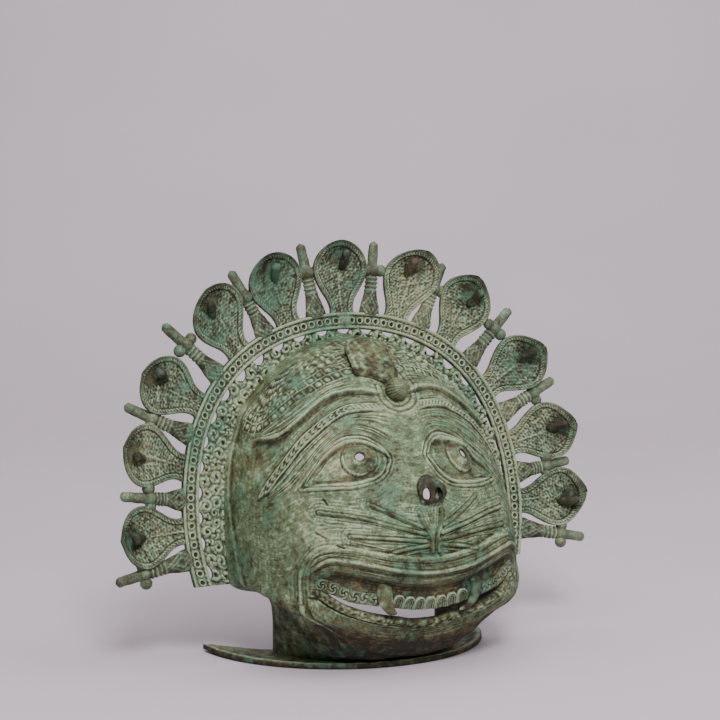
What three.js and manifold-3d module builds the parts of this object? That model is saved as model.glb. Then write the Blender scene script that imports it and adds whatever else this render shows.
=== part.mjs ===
// A cast brass bhuta mask: the hollow head of a snarling cat spirit, ringed by a halo of cobra hoods
// and finials, standing on its own half-round flange.
// Millimetres, +Z up. The face looks along -Y and +X is to the right of someone who faces it.
import * as THREE from 'three';
import { mergeVertices } from 'three/addons/utils/BufferGeometryUtils.js';
import Module from 'manifold-3d';

const wasm = await Module();
wasm.setup();

// Casting
const WALL = 3.2;

// Flange: a half-round plate with a horn at each end, open inside the neck
const FLANGE_RADIUS = 119.4;
const FLANGE_CENTRE_Y = 56.7;
const FLANGE_THICKNESS = 4.4;
const FLANGE_SIDES = 22;

// Halo: everything behind the face lies in one plane that leans back from the foot
const HALO_LEAN = 9.6;
const HALO_CENTRE = 115.4;
const HALO_CUT = 66;
const HALO_TRIM = 3;
const BAND_RADIUS = 150;
const BAND_HALF_WIDTH = 6.5;
const BAND_SIDES = 32;
const BAND_HALF_THICKNESS = 1.6;
const LACE_HALF_THICKNESS = 1.3;
const LACE_PITCH_COUNT = 27;
const LACE_NOTCH = 5.5;

// Hoods stand between the spikes, one at the very top
const HOOD_ANGLES = [0, 18.2, 36.3, 56, 74.8, 93.2];
const HOOD_FOOT = 4;
const HOOD_HEIGHT = 60;
const HOOD_CURL = 13;
const SPIKE_ANGLES = [8.9, 26.5, 45.9, 65.2, 84.1, 101.5];
const SPIKE_TIPS = [214.4, 215, 219, 215, 205, 216.9];
const SPIKE_FOOT = 5.2;
const BALL_RADIUS = 4.7;
const BALL_SPREAD = 6.6;
const BALL_FROM_TIP = 24;

// Eyes
const PUPIL_RADIUS = 3.4;
const IRIS_RADIUS = 14;
const EYEBALL_RADIUS = 19;
const EYEBALL_RISE = 3;

// Teeth: a row between the fangs and smaller ones out to the corners
const TEETH_COUNT = 7;
const TEETH_SPAN = 34;
const SIDE_TEETH = 4;
const SIDE_TOOTH_PITCH = 9.5;

// Crest on the forehead
const CREST_BALL = { centre: [0, -42, 215], radius: 8.6 };

// The head is lofted through these levels, from the foot of the neck (0) up to the crown (16).
// Each gives the midline of the face (y, z), the rear edge (x, y, z) and how square the level is.
const LEVELS = [
  { front: [-44, 0], edge: [75.5, 20.3, 0], square: 2.2 },
  { front: [-57, 5], edge: [75.5, 20.3, 16], square: 2.5 },
  { front: [-70, 12], edge: [76, 20, 31], square: 3 },
  { front: [-82, 24], edge: [80, 18, 45], square: 3.3 },
  { front: [-90, 36], edge: [95, 14, 56], square: 3.3 },
  { front: [-97, 47], edge: [117, 11, 62], square: 2.8 },
  { front: [-105, 64], edge: [119, 14, 82], square: 2.4 },
  { front: [-108, 82], edge: [119, 17, 102], square: 2.3 },
  { front: [-106, 100], edge: [118, 20, 121], square: 2.2 },
  { front: [-101, 120], edge: [116, 24, 140], square: 2.1 },
  { front: [-93, 142], edge: [112, 27, 160], square: 2 },
  { front: [-82, 163], edge: [105, 30, 180], square: 2 },
  { front: [-68, 184], edge: [95, 34, 199], square: 2 },
  { front: [-48, 205], edge: [79, 37, 217], square: 2 },
  { front: [-22, 225], edge: [57, 39, 233], square: 2 },
  { front: [8, 240], edge: [32, 41, 244], square: 2 },
  { front: [41, 250], edge: [0, 42, 250], square: 2 },
];
const LEVEL_VALUES = LEVELS.map((row) => [...row.front, ...row.edge, row.square]);
const CROWN = LEVELS.length - 1;

// Lines around the mouth, as [degrees from the midline, level]: both sides alike, and each runs on
// past the corner of the mouth at about 49 degrees to its place on the rear edge.
const MOUTH_CORNER = 49;
const CHEEK_LIFT = 8;
const JAW_RIDGE = [[0, 2], [8, 2.23], [15, 2.43], [23, 2.67], [30, 2.93], [36, 3.25], [39, 3.7],
  [41, 4.5], [44, 5.4], [49, 5.75], [90, 3.3]];
const INNER_LIP = [[0, 3.63], [5, 3.73], [13, 4], [22, 4.6], [31, 5.33], [38, 5.75], [49, 5.88], [90, 4.2]];
const GAP_BOTTOM = [[0, 4.35], [6, 4.75], [14, 5.1], [23, 5.43], [31, 5.7], [36, 5.9], [49, 5.95], [90, 4.6]];
const GAP_TOP = [[0, 5.3], [11, 5.53], [19, 5.7], [28, 5.8], [36, 6], [49, 6.02], [90, 5]];
const GUM = [[0, 5.95], [8, 6.07], [17, 6.3], [25, 6.47], [34, 6.6], [42, 6.37], [49, 6.15], [90, 5.6]];
const LIP_EDGE = [[0, 6.9], [12, 7.03], [22, 7.23], [31, 7.33], [39, 7.27], [44, 6.9], [49, 6.45], [90, 6.4]];
const LIP_LINE = [[0, 7.53], [16, 7.7], [33, 7.9], [41, 7.73], [46, 7.43], [49, 6.97], [90, 7]];
const GAP_END = 36;

// Rows of the skin around the mouth: how far each stands out there
const MOUTH_ROWS = [
  { line: JAW_RIDGE, shift: -0.4, rise: -3.5 },
  { line: JAW_RIDGE, shift: 0, rise: 3 },
  { line: JAW_RIDGE, next: INNER_LIP, share: 0.5, rise: 0.5 },
  { line: INNER_LIP, shift: 0, rise: -2.5 },
  { line: GAP_BOTTOM, shift: -0.12, rise: -1.5 },
  { line: GAP_TOP, shift: 0.12, rise: -1 },
  { line: GUM, shift: 0, rise: -6 },
  { line: LIP_EDGE, shift: -0.2, rise: 2 },
  { line: LIP_EDGE, shift: 0.15, rise: 4 },
  { line: LIP_LINE, shift: 0, rise: 3 },
  { line: LIP_LINE, shift: 0.35, rise: 0 },
];

// Lines of the eyes, brows and headband. The eyes were set by hand, the right one nearer to the nose.
const LEFT_EYE_TOP = [[0, 11.25], [10, 11.25], [12, 11.5], [18, 11.8], [27, 11.88], [36, 11.55], [44, 10.75],
  [50, 9.85], [69, 8.75], [90, 8.9]];
const LEFT_EYE_BOTTOM = [[0, 11.1], [10, 11.1], [12, 10.95], [15, 10.6], [22, 10.3], [34, 10.02],
  [50, 9.75], [69, 8.5], [90, 8.5]];
const RIGHT_EYE_TOP = [[0, 11.25], [3, 11.3], [6, 11.65], [11, 11.8], [18, 11.75], [25, 11.45], [33, 10.75],
  [42, 9.85], [69, 8.75], [90, 8.9]];
const RIGHT_EYE_BOTTOM = [[0, 11.1], [3, 11.1], [6, 10.65], [12, 10.2], [22, 9.97], [42, 9.75], [69, 8.5],
  [90, 8.5]];
const BROW_ROPE = [[0, 12.75], [19, 12.83], [32, 12.63], [43, 12.03], [51, 11.3], [59, 10.27], [69, 9.07],
  [90, 9.4]];
const HEADBAND_FOOT = [[0, 13.2], [22, 13.3], [31, 13.23], [44, 12.8], [52, 12.13], [60, 11.43], [72, 11],
  [90, 11]];
const HEADBAND_TOP = [[0, 14.95], [25, 14.97], [45, 14.73], [68, 14.07], [77, 13.23], [84, 11.8], [90, 11.7]];
const EYE_CORNER = 49;
const LEFT_PUPIL = [-26, 11.1];
const RIGHT_PUPIL = [24, 10.97];

// Rows from the upper lip to the crown, each with the longitudes between which it stands out
const EYE_BOTTOM = { left: LEFT_EYE_BOTTOM, right: RIGHT_EYE_BOTTOM };
const EYE_TOP = { left: LEFT_EYE_TOP, right: RIGHT_EYE_TOP };
const ROPE = { left: BROW_ROPE, right: BROW_ROPE };
const FOOT = { left: HEADBAND_FOOT, right: HEADBAND_FOOT };
const TOP = { left: HEADBAND_TOP, right: HEADBAND_TOP };
const FACE_ROWS = [
  { line: EYE_BOTTOM, shift: -0.14, rise: 0 },
  { line: EYE_BOTTOM, shift: 0, rise: 2.6, eye: true },
  { line: EYE_BOTTOM, next: EYE_TOP, share: 0.18, rise: -1, eye: true },
  { line: EYE_BOTTOM, next: EYE_TOP, share: 0.5, rise: 0 },
  { line: EYE_BOTTOM, next: EYE_TOP, share: 0.84, rise: -1, eye: true },
  { line: EYE_TOP, shift: 0, rise: 3.2, eye: true },
  { line: EYE_TOP, shift: 0.16, rise: 0 },
  { line: ROPE, shift: -0.2, rise: 0 },
  { line: ROPE, shift: 0, rise: 2.6, from: 15, to: 68 },
  { line: ROPE, shift: 0.2, rise: 0 },
  { line: FOOT, shift: -0.06, rise: 0 },
  { line: FOOT, shift: 0.06, rise: 3.4, from: 12, to: 72 },
  { line: FOOT, shift: 0.4, rise: 2.4, from: 12, to: 76 },
  { line: TOP, shift: -0.05, rise: 2.6, from: 12, to: 80 },
  { line: TOP, shift: 0.1, rise: 0 },
];
const NECK_ROWS = 3;
const CHEEK_ROWS = 2;
const CROWN_ROWS = 2;
const MOUTH_END_ROW = 1 + NECK_ROWS + MOUTH_ROWS.length;
const LIP_ROWS = 3;
const SKIN_COLUMNS = 28;
const LINING_COLUMNS = 16;

// Relief laid on the face, as [longitude, level] on the left, mirrored to the right
const WHISKERS = [
  [[-24, 9.55], [-12, 9.15], [-3, 8.73]],
  [[-43, 9.1], [-20, 8.95], [-2, 8.53]],
];

const radians = THREE.MathUtils.degToRad;
const { clamp, lerp, smoothstep } = THREE.MathUtils;

// A value read off a line of [position, value] stops.
function readStops(stops, position) {
  const last = stops.length - 1;
  if (position <= stops[0][0]) return stops[0][1];
  if (position >= stops[last][0]) return stops[last][1];
  const i = stops.findIndex((stop) => stop[0] > position) - 1;
  const share = (position - stops[i][0]) / (stops[i + 1][0] - stops[i][0]);
  return lerp(stops[i][1], stops[i + 1][1], share);
}

// One of the six loft values at any level, by a smooth curve through the rows.
function levelValue(level, column) {
  const t = clamp(level, 0, CROWN - 1e-6);
  const i = Math.floor(t);
  const f = t - i;
  const at = (j) => LEVEL_VALUES[clamp(j, 0, CROWN)][column];
  const [a, b, c, d] = [at(i - 1), at(i), at(i + 1), at(i + 2)];
  return 0.5 * (2 * b + (c - a) * f + (2 * a - 5 * b + 4 * c - d) * f ** 2 + (3 * b - a - 3 * c + d) * f ** 3);
}

// The underside of each cheek is pulled up clear of the neck, beside its rear edge.
function cheekLift(longitude, level) {
  const away = Math.abs(longitude);
  const across = smoothstep(away, 50, 74) * (1 - smoothstep(away, 80, 90));
  return CHEEK_LIFT * across * smoothstep(level, 2.4, 4) * (1 - smoothstep(level, 4.6, 6.4));
}

// A point of the bare head form: longitude in degrees from the midline, level up the head.
function headPoint(longitude, level) {
  const [frontY, frontZ, edgeX, edgeY, edgeZ, square] = [0, 1, 2, 3, 4, 5].map((k) => levelValue(level, k));
  const s = Math.sin(radians(longitude));
  const c = Math.cos(radians(longitude));
  const side = Math.sign(s) * Math.abs(s) ** (2 / square);
  const fore = Math.max(c, 0) ** (2 / square);
  const z = lerp(edgeZ, frontZ, fore) + cheekLift(longitude, level);
  return new THREE.Vector3(edgeX * side, lerp(edgeY, frontY, fore), z);
}

// The outward normal of the head form.
function headNormal(longitude, level) {
  const lon = clamp(longitude, -89.5, 89.5);
  const t = clamp(level, 0.05, CROWN - 0.15);
  const across = headPoint(lon + 0.4, t).sub(headPoint(lon - 0.4, t));
  const up = headPoint(lon, t + 0.04).sub(headPoint(lon, t - 0.04));
  return across.cross(up).normalize();
}

// Shallow swelling of the eyeballs in their slightly sunken sockets.
function eyeRise(longitude, level) {
  const point = headPoint(longitude, level);
  let rise = 0;
  for (const pupil of [LEFT_PUPIL, RIGHT_PUPIL]) {
    const distance = point.distanceTo(headPoint(...pupil));
    rise -= 2.5 * (1 - smoothstep(distance, 12, 38));
    rise += (EYEBALL_RISE + 1.5) * (1 - smoothstep(distance, 0, EYEBALL_RADIUS));
  }
  return rise;
}

// A point on the finished skin, standing out from it by an extra amount.
function skinPoint(longitude, level, out = 0) {
  const rise = eyeRise(longitude, level) + out;
  return headPoint(longitude, level).addScaledVector(headNormal(longitude, level), rise);
}

// Builds a closed solid from rings of points: quads between the rings and a fan over each end.
function loft(rings) {
  const count = rings[0].length;
  const points = rings.flat();
  const triangles = [];
  for (let r = 0; r + 1 < rings.length; r += 1) {
    for (let i = 0; i < count; i += 1) {
      const a = r * count + i;
      const b = r * count + ((i + 1) % count);
      triangles.push([a, b, b + count], [a, b + count, a + count]);
    }
  }
  for (const [r, flip] of [[0, true], [rings.length - 1, false]]) {
    const centre = rings[r].reduce((sum, p) => sum.add(p), new THREE.Vector3()).divideScalar(count);
    points.push(centre);
    const hub = points.length - 1;
    for (let i = 0; i < count; i += 1) {
      const a = r * count + i;
      const b = r * count + ((i + 1) % count);
      triangles.push(flip ? [hub, b, a] : [hub, a, b]);
    }
  }
  return solidOf(points, triangles);
}

// Welds points into a closed solid, with its faces turned outward.
function solidOf(points, triangles) {
  let volume = 0;
  for (const [a, b, c] of triangles) {
    volume += points[a].dot(new THREE.Vector3().crossVectors(points[b], points[c]));
  }
  const outward = volume > 0 ? triangles : triangles.map(([a, b, c]) => [a, c, b]);
  const geometry = new THREE.BufferGeometry().setFromPoints(points);
  geometry.setIndex(outward.flat());
  return solidFromGeometry(geometry);
}

function solidFromGeometry(source) {
  const bare = source.clone();
  bare.deleteAttribute('normal');
  bare.deleteAttribute('uv');
  const welded = mergeVertices(bare, 1e-4);
  const index = welded.index.array;
  const kept = [];
  for (let i = 0; i < index.length; i += 3) {
    const [a, b, c] = [index[i], index[i + 1], index[i + 2]];
    if (a !== b && b !== c && c !== a) kept.push(a, b, c);
  }
  return new wasm.Manifold(new wasm.Mesh({
    numProp: 3,
    vertProperties: new Float32Array(welded.attributes.position.array),
    triVerts: new Uint32Array(kept),
  }));
}

function joinAll(solids) {
  return solids.reduce((sum, solid) => sum.add(solid));
}

// A row around the mouth: its level at any longitude and how far it stands out there.
function mouthRow(row) {
  return (longitude) => {
    const away = Math.abs(longitude);
    const level = row.next
      ? lerp(readStops(row.line, away), readStops(row.next, away), row.share)
      : readStops(row.line, away) + row.shift * (1 - 0.6 * smoothstep(away, 30, MOUTH_CORNER));
    return { level, rise: row.rise * (1 - smoothstep(away, MOUTH_CORNER - 8, MOUTH_CORNER + 2)) };
  };
}

// A row around the eyes, brows and headband.
function faceRow(row) {
  const read = (line, longitude) => readStops(longitude < 0 ? line.left : line.right, Math.abs(longitude));
  return (longitude) => {
    const away = Math.abs(longitude);
    const level = row.next
      ? lerp(read(row.line, longitude), read(row.next, longitude), row.share)
      : read(row.line, longitude) + row.shift;
    const from = row.from ?? 0;
    const to = row.to ?? 90;
    let share = from > 0 ? smoothstep(away, from - 8, from + 8) : 1;
    share *= 1 - smoothstep(away, to - 2, to + 4);
    if (row.eye) {
      share *= smoothstep(read(EYE_TOP, longitude) - read(EYE_BOTTOM, longitude), 0.05, 0.3);
      share *= 1 - smoothstep(away, EYE_CORNER, EYE_CORNER + 4);
    }
    return { level, rise: row.rise * share };
  };
}

// Plain rows between two others, leaving both out.
function rowsBetween(below, above, count) {
  return Array.from({ length: count }, (_, i) => (longitude) => {
    const low = below(longitude);
    const high = above(longitude);
    const share = (i + 1) / (count + 1);
    return { level: lerp(low.level, high.level, share), rise: lerp(low.rise, high.rise, share) };
  });
}

function skinRows() {
  const foot = () => ({ level: 0, rise: 0 });
  const crown = () => ({ level: CROWN - 0.12, rise: 0 });
  const mouth = MOUTH_ROWS.map(mouthRow);
  const face = FACE_ROWS.map(faceRow);
  return [
    foot, ...rowsBetween(foot, mouth[0], NECK_ROWS), ...mouth,
    ...rowsBetween(mouth[mouth.length - 1], face[0], CHEEK_ROWS), ...face,
    ...rowsBetween(face[face.length - 1], crown, CROWN_ROWS), crown,
  ];
}

function columnLongitudes(columns) {
  return Array.from({ length: columns + 1 }, (_, i) => {
    const u = (2 * i) / columns - 1;
    return 90 * Math.sign(u) * Math.abs(u) ** 1.15;
  });
}

// The head as if it were solid: the skin in front and a plain cap across the back.
function outerHead() {
  const longitudes = columnLongitudes(SKIN_COLUMNS);
  return loft(skinRows().map((row) => longitudes.map((longitude) => {
    const { level, rise } = row(longitude);
    return skinPoint(longitude, level, rise);
  })));
}

// What the hollow takes out: the same form one wall thickness in, run out through the back and the foot.
function headHollow() {
  const longitudes = columnLongitudes(LINING_COLUMNS);
  const backward = new THREE.Vector3(0, FLANGE_CENTRE_Y + 30, 0);
  const downward = new THREE.Vector3(0, 0, -20);
  const rows = skinRows().slice(0, -1).filter((_, i) => i < MOUTH_END_ROW - LIP_ROWS || i % 4 === 0);
  const rings = rows.map((row) => {
    const ring = longitudes.map((longitude) => {
      const { level, rise } = row(longitude);
      return skinPoint(longitude, level, Math.min(rise, 0) - WALL);
    });
    return [ring[0].clone().add(backward), ...ring, ring[ring.length - 1].clone().add(backward)];
  });
  const foot = rings[0].map((p) => p.clone().setZ(0).add(downward));
  return loft([foot, ...rings]);
}

// The see-through gap between the teeth and the lower lip.
function mouthGap() {
  const steps = 9;
  const rings = Array.from({ length: steps + 1 }, (_, i) => {
    const longitude = lerp(-GAP_END, GAP_END, i / steps);
    const top = readStops(GAP_TOP, Math.abs(longitude));
    const bottom = Math.min(readStops(GAP_BOTTOM, Math.abs(longitude)), top - 0.08);
    return [[top, 14], [bottom, 14], [bottom, -24], [top, -24]]
      .map(([level, out]) => skinPoint(longitude, level, out));
  });
  return loft(rings);
}

// A round hole bored straight through the skin.
function bore(centre, direction, radius, sides) {
  const turn = new THREE.Quaternion().setFromUnitVectors(new THREE.Vector3(0, 0, 1), direction.clone().normalize());
  const rings = [-16, 16].map((along) => Array.from({ length: sides }, (_, i) => {
    const a = (2 * Math.PI * i) / sides;
    const local = new THREE.Vector3(radius * Math.cos(a), radius * Math.sin(a), along);
    return local.applyQuaternion(turn).add(centre);
  }));
  return loft(rings);
}

// A raised cord along a line on the skin, three-sided and sunk a little into the wall.
function ridge(line, width, height, steps) {
  const curve = new THREE.CatmullRomCurve3(line.map(([lon, level]) => new THREE.Vector3(lon, level, 0)));
  const onHead = (share) => {
    const { x, y } = curve.getPoint(clamp(share, 0, 1));
    return headPoint(x, y);
  };
  const rings = Array.from({ length: steps + 1 }, (_, i) => {
    const u = i / steps;
    const { x, y } = curve.getPoint(u);
    const normal = headNormal(x, y);
    const along = onHead(u + 0.01).sub(onHead(u - 0.01)).normalize();
    const across = new THREE.Vector3().crossVectors(along, normal).normalize();
    const size = i === 0 || i === steps ? 0.5 : 1;
    const foot = skinPoint(x, y);
    return [[-0.5, -1], [0, height], [0.5, -1]].map(([side, out]) => foot.clone()
      .addScaledVector(across, side * width * size).addScaledVector(normal, out > 0 ? out * size : out));
  });
  return loft(rings);
}

function mirrored(line) {
  return line.map(([longitude, level]) => [-longitude, level]);
}

// The small snub nose, a short snout with two bored nostrils.
function nose() {
  const sides = 10;
  const stations = [
    { y: -84, halfWidth: 13, halfHeight: 15, z: 147 },
    { y: -97, halfWidth: 12, halfHeight: 10.5, z: 143.5 },
    { y: -102.5, halfWidth: 10, halfHeight: 8.5, z: 142.5 },
    { y: -105, halfWidth: 7, halfHeight: 6, z: 142.5 },
  ];
  return loft(stations.map(({ y, halfWidth, halfHeight, z }) => Array.from({ length: sides }, (_, i) => {
    const a = (2 * Math.PI * (i + 0.5)) / sides;
    return new THREE.Vector3(halfWidth * Math.cos(a), y, z + halfHeight * Math.sin(a));
  })));
}

// The raised ring of an iris, domed towards the pupil.
function iris(at) {
  const sides = 9;
  const centre = skinPoint(...at);
  const turn = new THREE.Quaternion().setFromUnitVectors(new THREE.Vector3(0, 0, 1), headNormal(...at));
  const stations = [[IRIS_RADIUS, -4], [IRIS_RADIUS - 0.5, 0.6], [5.5, 1.6]];
  return loft(stations.map(([radius, out]) => Array.from({ length: sides }, (_, i) => {
    const a = (2 * Math.PI * i) / sides;
    return new THREE.Vector3(radius * Math.cos(a), radius * Math.sin(a), out).applyQuaternion(turn).add(centre);
  })));
}

// The strip of upper lip that runs down from the nose, between the roots of the whiskers.
function philtrum() {
  return ridge([[0, 9.3], [0, 8.6], [0, 7.9]], 9, 2.2, 3);
}

function crestBall() {
  const ball = new THREE.IcosahedronGeometry(CREST_BALL.radius, 1);
  ball.translate(...CREST_BALL.centre);
  return solidFromGeometry(ball);
}

// The leaf that rises from the ball to the crown, broadest at its shoulders.
function crestLeaf() {
  const stations = [[13.35, 5, 3], [13.8, 7.5, 4], [14.4, 10.5, 5], [15, 14.5, 5], [15.5, 11, 5], [15.9, 5, 4]];
  return loft(stations.map(([level, half, height]) => {
    const reach = Math.max(levelValue(level, 2), 12);
    const section = [[-1, -1], [-1, 0.55], [0, 1], [1, 0.55], [1, -1]];
    return section.map(([side, out]) => {
      const longitude = THREE.MathUtils.radToDeg(Math.asin(clamp((side * half) / reach, -0.95, 0.95)));
      return skinPoint(longitude, level, out < 0 ? -1 : out * height);
    });
  }));
}

// The row of upper teeth, one scalloped strip set in the gum from corner to corner of the mouth.
function teeth() {
  const stations = [];
  const pitch = (2 * TEETH_SPAN) / TEETH_COUNT;
  for (let i = 0; i < TEETH_COUNT; i += 1) {
    const x = -TEETH_SPAN + pitch * i;
    stations.push([x, 0], [x + pitch * 0.28, 1], [x + pitch * 0.72, 1]);
  }
  stations.push([TEETH_SPAN, 0]);
  for (let i = 0; i < SIDE_TEETH; i += 1) {
    const x = TEETH_SPAN + SIDE_TOOTH_PITCH * i;
    stations.push([x + SIDE_TOOTH_PITCH * 0.5, 0.8], [x + SIDE_TOOTH_PITCH, 0]);
    stations.unshift([-x - SIDE_TOOTH_PITCH * 0.5, 0.8], [-x - SIDE_TOOTH_PITCH, 0]);
  }
  return loft(stations.map(([x, full]) => {
    const longitude = longitudeOfX(x, 5.8);
    const away = Math.abs(longitude);
    const top = readStops(GUM, away) + 0.12;
    const bottom = lerp(readStops(GAP_TOP, away) + 0.14, readStops(GAP_TOP, away) - 0.02, full);
    return [[top, -7.5], [top, -3], [lerp(top, bottom, 0.65), -2 + 2.4 * full], [bottom, -3.5]]
      .map(([level, out]) => skinPoint(longitude, level, out));
  }));
}

// The longitude at which the head form reaches a given x, at one level.
function longitudeOfX(x, level) {
  const share = clamp(Math.abs(x) / levelValue(level, 2), 0, 1);
  const s = share ** (levelValue(level, 5) / 2);
  return Math.sign(x) * THREE.MathUtils.radToDeg(Math.asin(s));
}

// An upper fang, flat and hooked towards the middle at its tip.
function fang(side, x) {
  const stations = [
    { level: 6.7, x: 0, half: 5.5, out: -4, thick: 9 },
    { level: 5.9, x: 0.5, half: 5.5, out: -1.5, thick: 9 },
    { level: 5.3, x: -0.5, half: 5, out: 1.5, thick: 6 },
    { level: 4.85, x: -3, half: 4, out: 2, thick: 4.5 },
    { level: 4.55, x: -6, half: 2.6, out: 1.5, thick: 3.5 },
  ];
  return loft(stations.map((station) => [[-1, -0.5], [-0.6, 0.5], [0.6, 0.5], [1, -0.5]].map(([across, deep]) => {
    const longitude = longitudeOfX(side * (x + station.x + across * station.half), station.level);
    return skinPoint(longitude, station.level, station.out + deep * station.thick);
  })));
}

// The half-round flange under the neck: dished, rounded at its rim, and drawn out into a horn at each end.
function flange() {
  const innerStops = [[180, 113], [192, 96], [206, 80], [214, 68], [270, 68]];
  const rings = Array.from({ length: FLANGE_SIDES + 1 }, (_, i) => {
    const angle = 180 + (180 * i) / FLANGE_SIDES;
    const inner = readStops(innerStops, angle <= 270 ? angle : 540 - angle);
    const section = [
      [inner, 0], [FLANGE_RADIUS, 0], [FLANGE_RADIUS, FLANGE_THICKNESS - 0.8],
      [FLANGE_RADIUS - 1.5, FLANGE_THICKNESS], [inner, FLANGE_THICKNESS - 1.4],
    ];
    const a = radians(angle);
    return section.map(([radius, z]) => (
      new THREE.Vector3(radius * Math.cos(a), FLANGE_CENTRE_Y + radius * Math.sin(a), z)));
  });
  return loft(rings);
}

// A point of the halo: across, up the leaning plane, and out towards the viewer.
function haloPoint(across, up, out) {
  const lean = radians(HALO_LEAN);
  return new THREE.Vector3(
    across,
    up * Math.sin(lean) - out * Math.cos(lean),
    up * Math.cos(lean) + out * Math.sin(lean),
  );
}

// A point of the halo by angle from the top and distance from the middle of the arch.
function archPoint(angle, radius, out, sideways = 0) {
  const a = radians(angle);
  return haloPoint(
    radius * Math.sin(a) + sideways * Math.cos(a),
    HALO_CENTRE + radius * Math.cos(a) - sideways * Math.sin(a),
    out,
  );
}

// The arch was bent by hand, a little flat at its shoulders.
function bandRadius(angle) {
  const a = radians(angle);
  return BAND_RADIUS * (1 + 0.0056 * Math.cos(2 * a) + 0.004 * Math.cos(3 * a) - 0.0195 * Math.cos(4 * a));
}

const BAND_END = THREE.MathUtils.radToDeg(Math.acos((HALO_CUT - HALO_CENTRE) / BAND_RADIUS)) + 2;

// The band of the halo: a strip with a raised cord along each edge.
function haloBand() {
  const w = BAND_HALF_WIDTH;
  const t = BAND_HALF_THICKNESS;
  const section = [[-w, -t], [-w + 1, 2.6], [0, 0.9], [w - 1, 2.6], [w, -t]];
  const rings = Array.from({ length: BAND_SIDES + 1 }, (_, i) => {
    const angle = lerp(-BAND_END, BAND_END, i / BAND_SIDES);
    return section.map(([radial, out]) => archPoint(angle, bandRadius(angle) + radial, out));
  });
  return loft(rings);
}

// The smooth knot that closes the band at its top.
function bandKnot() {
  const sides = 7;
  return loft([[9, 7, 0], [8, 6, 3.2], [3, 2.5, 4.6]].map(([across, up, out]) => (
    Array.from({ length: sides }, (_, i) => {
      const a = (2 * Math.PI * i) / sides;
      return archPoint(0, bandRadius(0) + up * Math.sin(a), out, across * Math.cos(a));
    }))));
}

// How far out from the middle of the arch the rear edge of the head lies, by angle from the top.
function headEdgeStops() {
  const steps = 24;
  return Array.from({ length: steps + 1 }, (_, i) => {
    const edge = headPoint(90, lerp(CROWN - 0.15, 5.05, i / steps));
    const up = edge.z / Math.cos(radians(HALO_LEAN)) - HALO_CENTRE;
    return [THREE.MathUtils.radToDeg(Math.atan2(edge.x, up)), Math.hypot(edge.x, up)];
  });
}

// The lace between the head and the band: a bossed strip whose outer edge meets the band only between piercings.
function lace() {
  const edge = headEdgeStops();
  const stations = [];
  for (let i = 0; i < LACE_PITCH_COUNT; i += 1) {
    stations.push([i, 0, 3.2], [i + 0.5, LACE_NOTCH, 1]);
  }
  stations.push([LACE_PITCH_COUNT, 0, 3.2]);
  return loft(stations.map(([place, notch, boss]) => {
    const angle = lerp(-BAND_END, BAND_END, place / LACE_PITCH_COUNT);
    const outer = bandRadius(angle) - BAND_HALF_WIDTH + 1.5 - notch;
    const inner = Math.min(readStops(edge, Math.abs(angle)) - 2, outer - 6);
    const t = LACE_HALF_THICKNESS;
    return [[inner, -t], [lerp(inner, outer, 0.45), t + boss], [outer, -t]]
      .map(([radius, out]) => archPoint(angle, radius, out));
  }));
}

// A cobra hood: a dished shield whose tip curls forward, with a raised border and a small head.
function hood(angle) {
  const foot = bandRadius(angle) + HOOD_FOOT;
  const curl = (up) => HOOD_CURL * (clamp(up, 0, HOOD_HEIGHT) / HOOD_HEIGHT) ** 2.5;
  const shield = [[0, 12], [14, 14.2], [28, 22], [43, 24.2], [54, 15], [HOOD_HEIGHT, 0]];
  const snake = [[28, 1.2], [34, 2.4], [40, 3.6], [47, 5], [54, 4.2], [57, 0]];
  const ring = (half, scale, centre, out) => {
    const around = [...half, ...half.slice(0, -1).reverse().map(([up, side]) => [up, -side])];
    return around.map(([up, side]) => {
      const height = centre + (up - centre) * scale;
      return archPoint(angle, foot + height, curl(height) + out, side * scale);
    });
  };
  return loft([
    ring(snake, 0.6, 50, 6), ring(snake, 1.15, 46, -1),
    ring(shield, 0.88, 34, 1.6), ring(shield, 1, 34, 0.8), ring(shield, 0.88, 34, -2.2),
  ]);
}

// A finial between two hoods: a flared foot, a narrow neck, a ball to each side and a long round tip.
function spike(angle, tip) {
  const sides = 6;
  const foot = bandRadius(angle) + SPIKE_FOOT;
  const ballAt = tip - BALL_FROM_TIP;
  const stations = [
    [foot, 9, 2.2], [foot + 17, 4.7, 3.6], [ballAt - BALL_RADIUS, 5, 4],
    [ballAt - 1.5, BALL_SPREAD + BALL_RADIUS, 4.6], [ballAt + 2, BALL_SPREAD + BALL_RADIUS, 4.6],
    [ballAt + BALL_RADIUS + 1, 4, 4], [tip, 2.6, 2.6],
  ];
  return loft(stations.map(([radius, wide, deep]) => Array.from({ length: sides }, (_, i) => {
    const a = (2 * Math.PI * (i + 0.5)) / sides;
    return archPoint(angle, radius, 0.6 + deep * Math.sin(a), wide * Math.cos(a));
  })));
}

// Everything that is bored or cut right through the face.
function piercings() {
  const eyes = [LEFT_PUPIL, RIGHT_PUPIL].map((at) => bore(skinPoint(...at), headNormal(...at), PUPIL_RADIUS, 8));
  const straight = new THREE.Vector3(0, 1, -0.1);
  const nostrils = [-1, 1].map((side) => bore(new THREE.Vector3(side * 5.2, -98, 141), straight, 3.6, 6));
  return joinAll([mouthGap(), ...eyes, ...nostrils]);
}

function faceRelief() {
  const whiskers = WHISKERS.flatMap((line) => [line, mirrored(line)]).map((line) => ridge(line, 4, 2, 2));
  return joinAll([...whiskers, philtrum(), nose(), iris(LEFT_PUPIL), iris(RIGHT_PUPIL)]);
}

// What is taken off the two feet of the halo, so that they end on one level line.
function footTrim() {
  const corners = (out) => [[-1, 0], [1, 0], [1, 1], [-1, 1]].map(([side, top]) => (
    haloPoint(side * (BAND_RADIUS + 30), HALO_CUT - HALO_TRIM + (top - 1) * 40, out)));
  return loft([corners(-12), corners(12)]);
}

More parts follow.
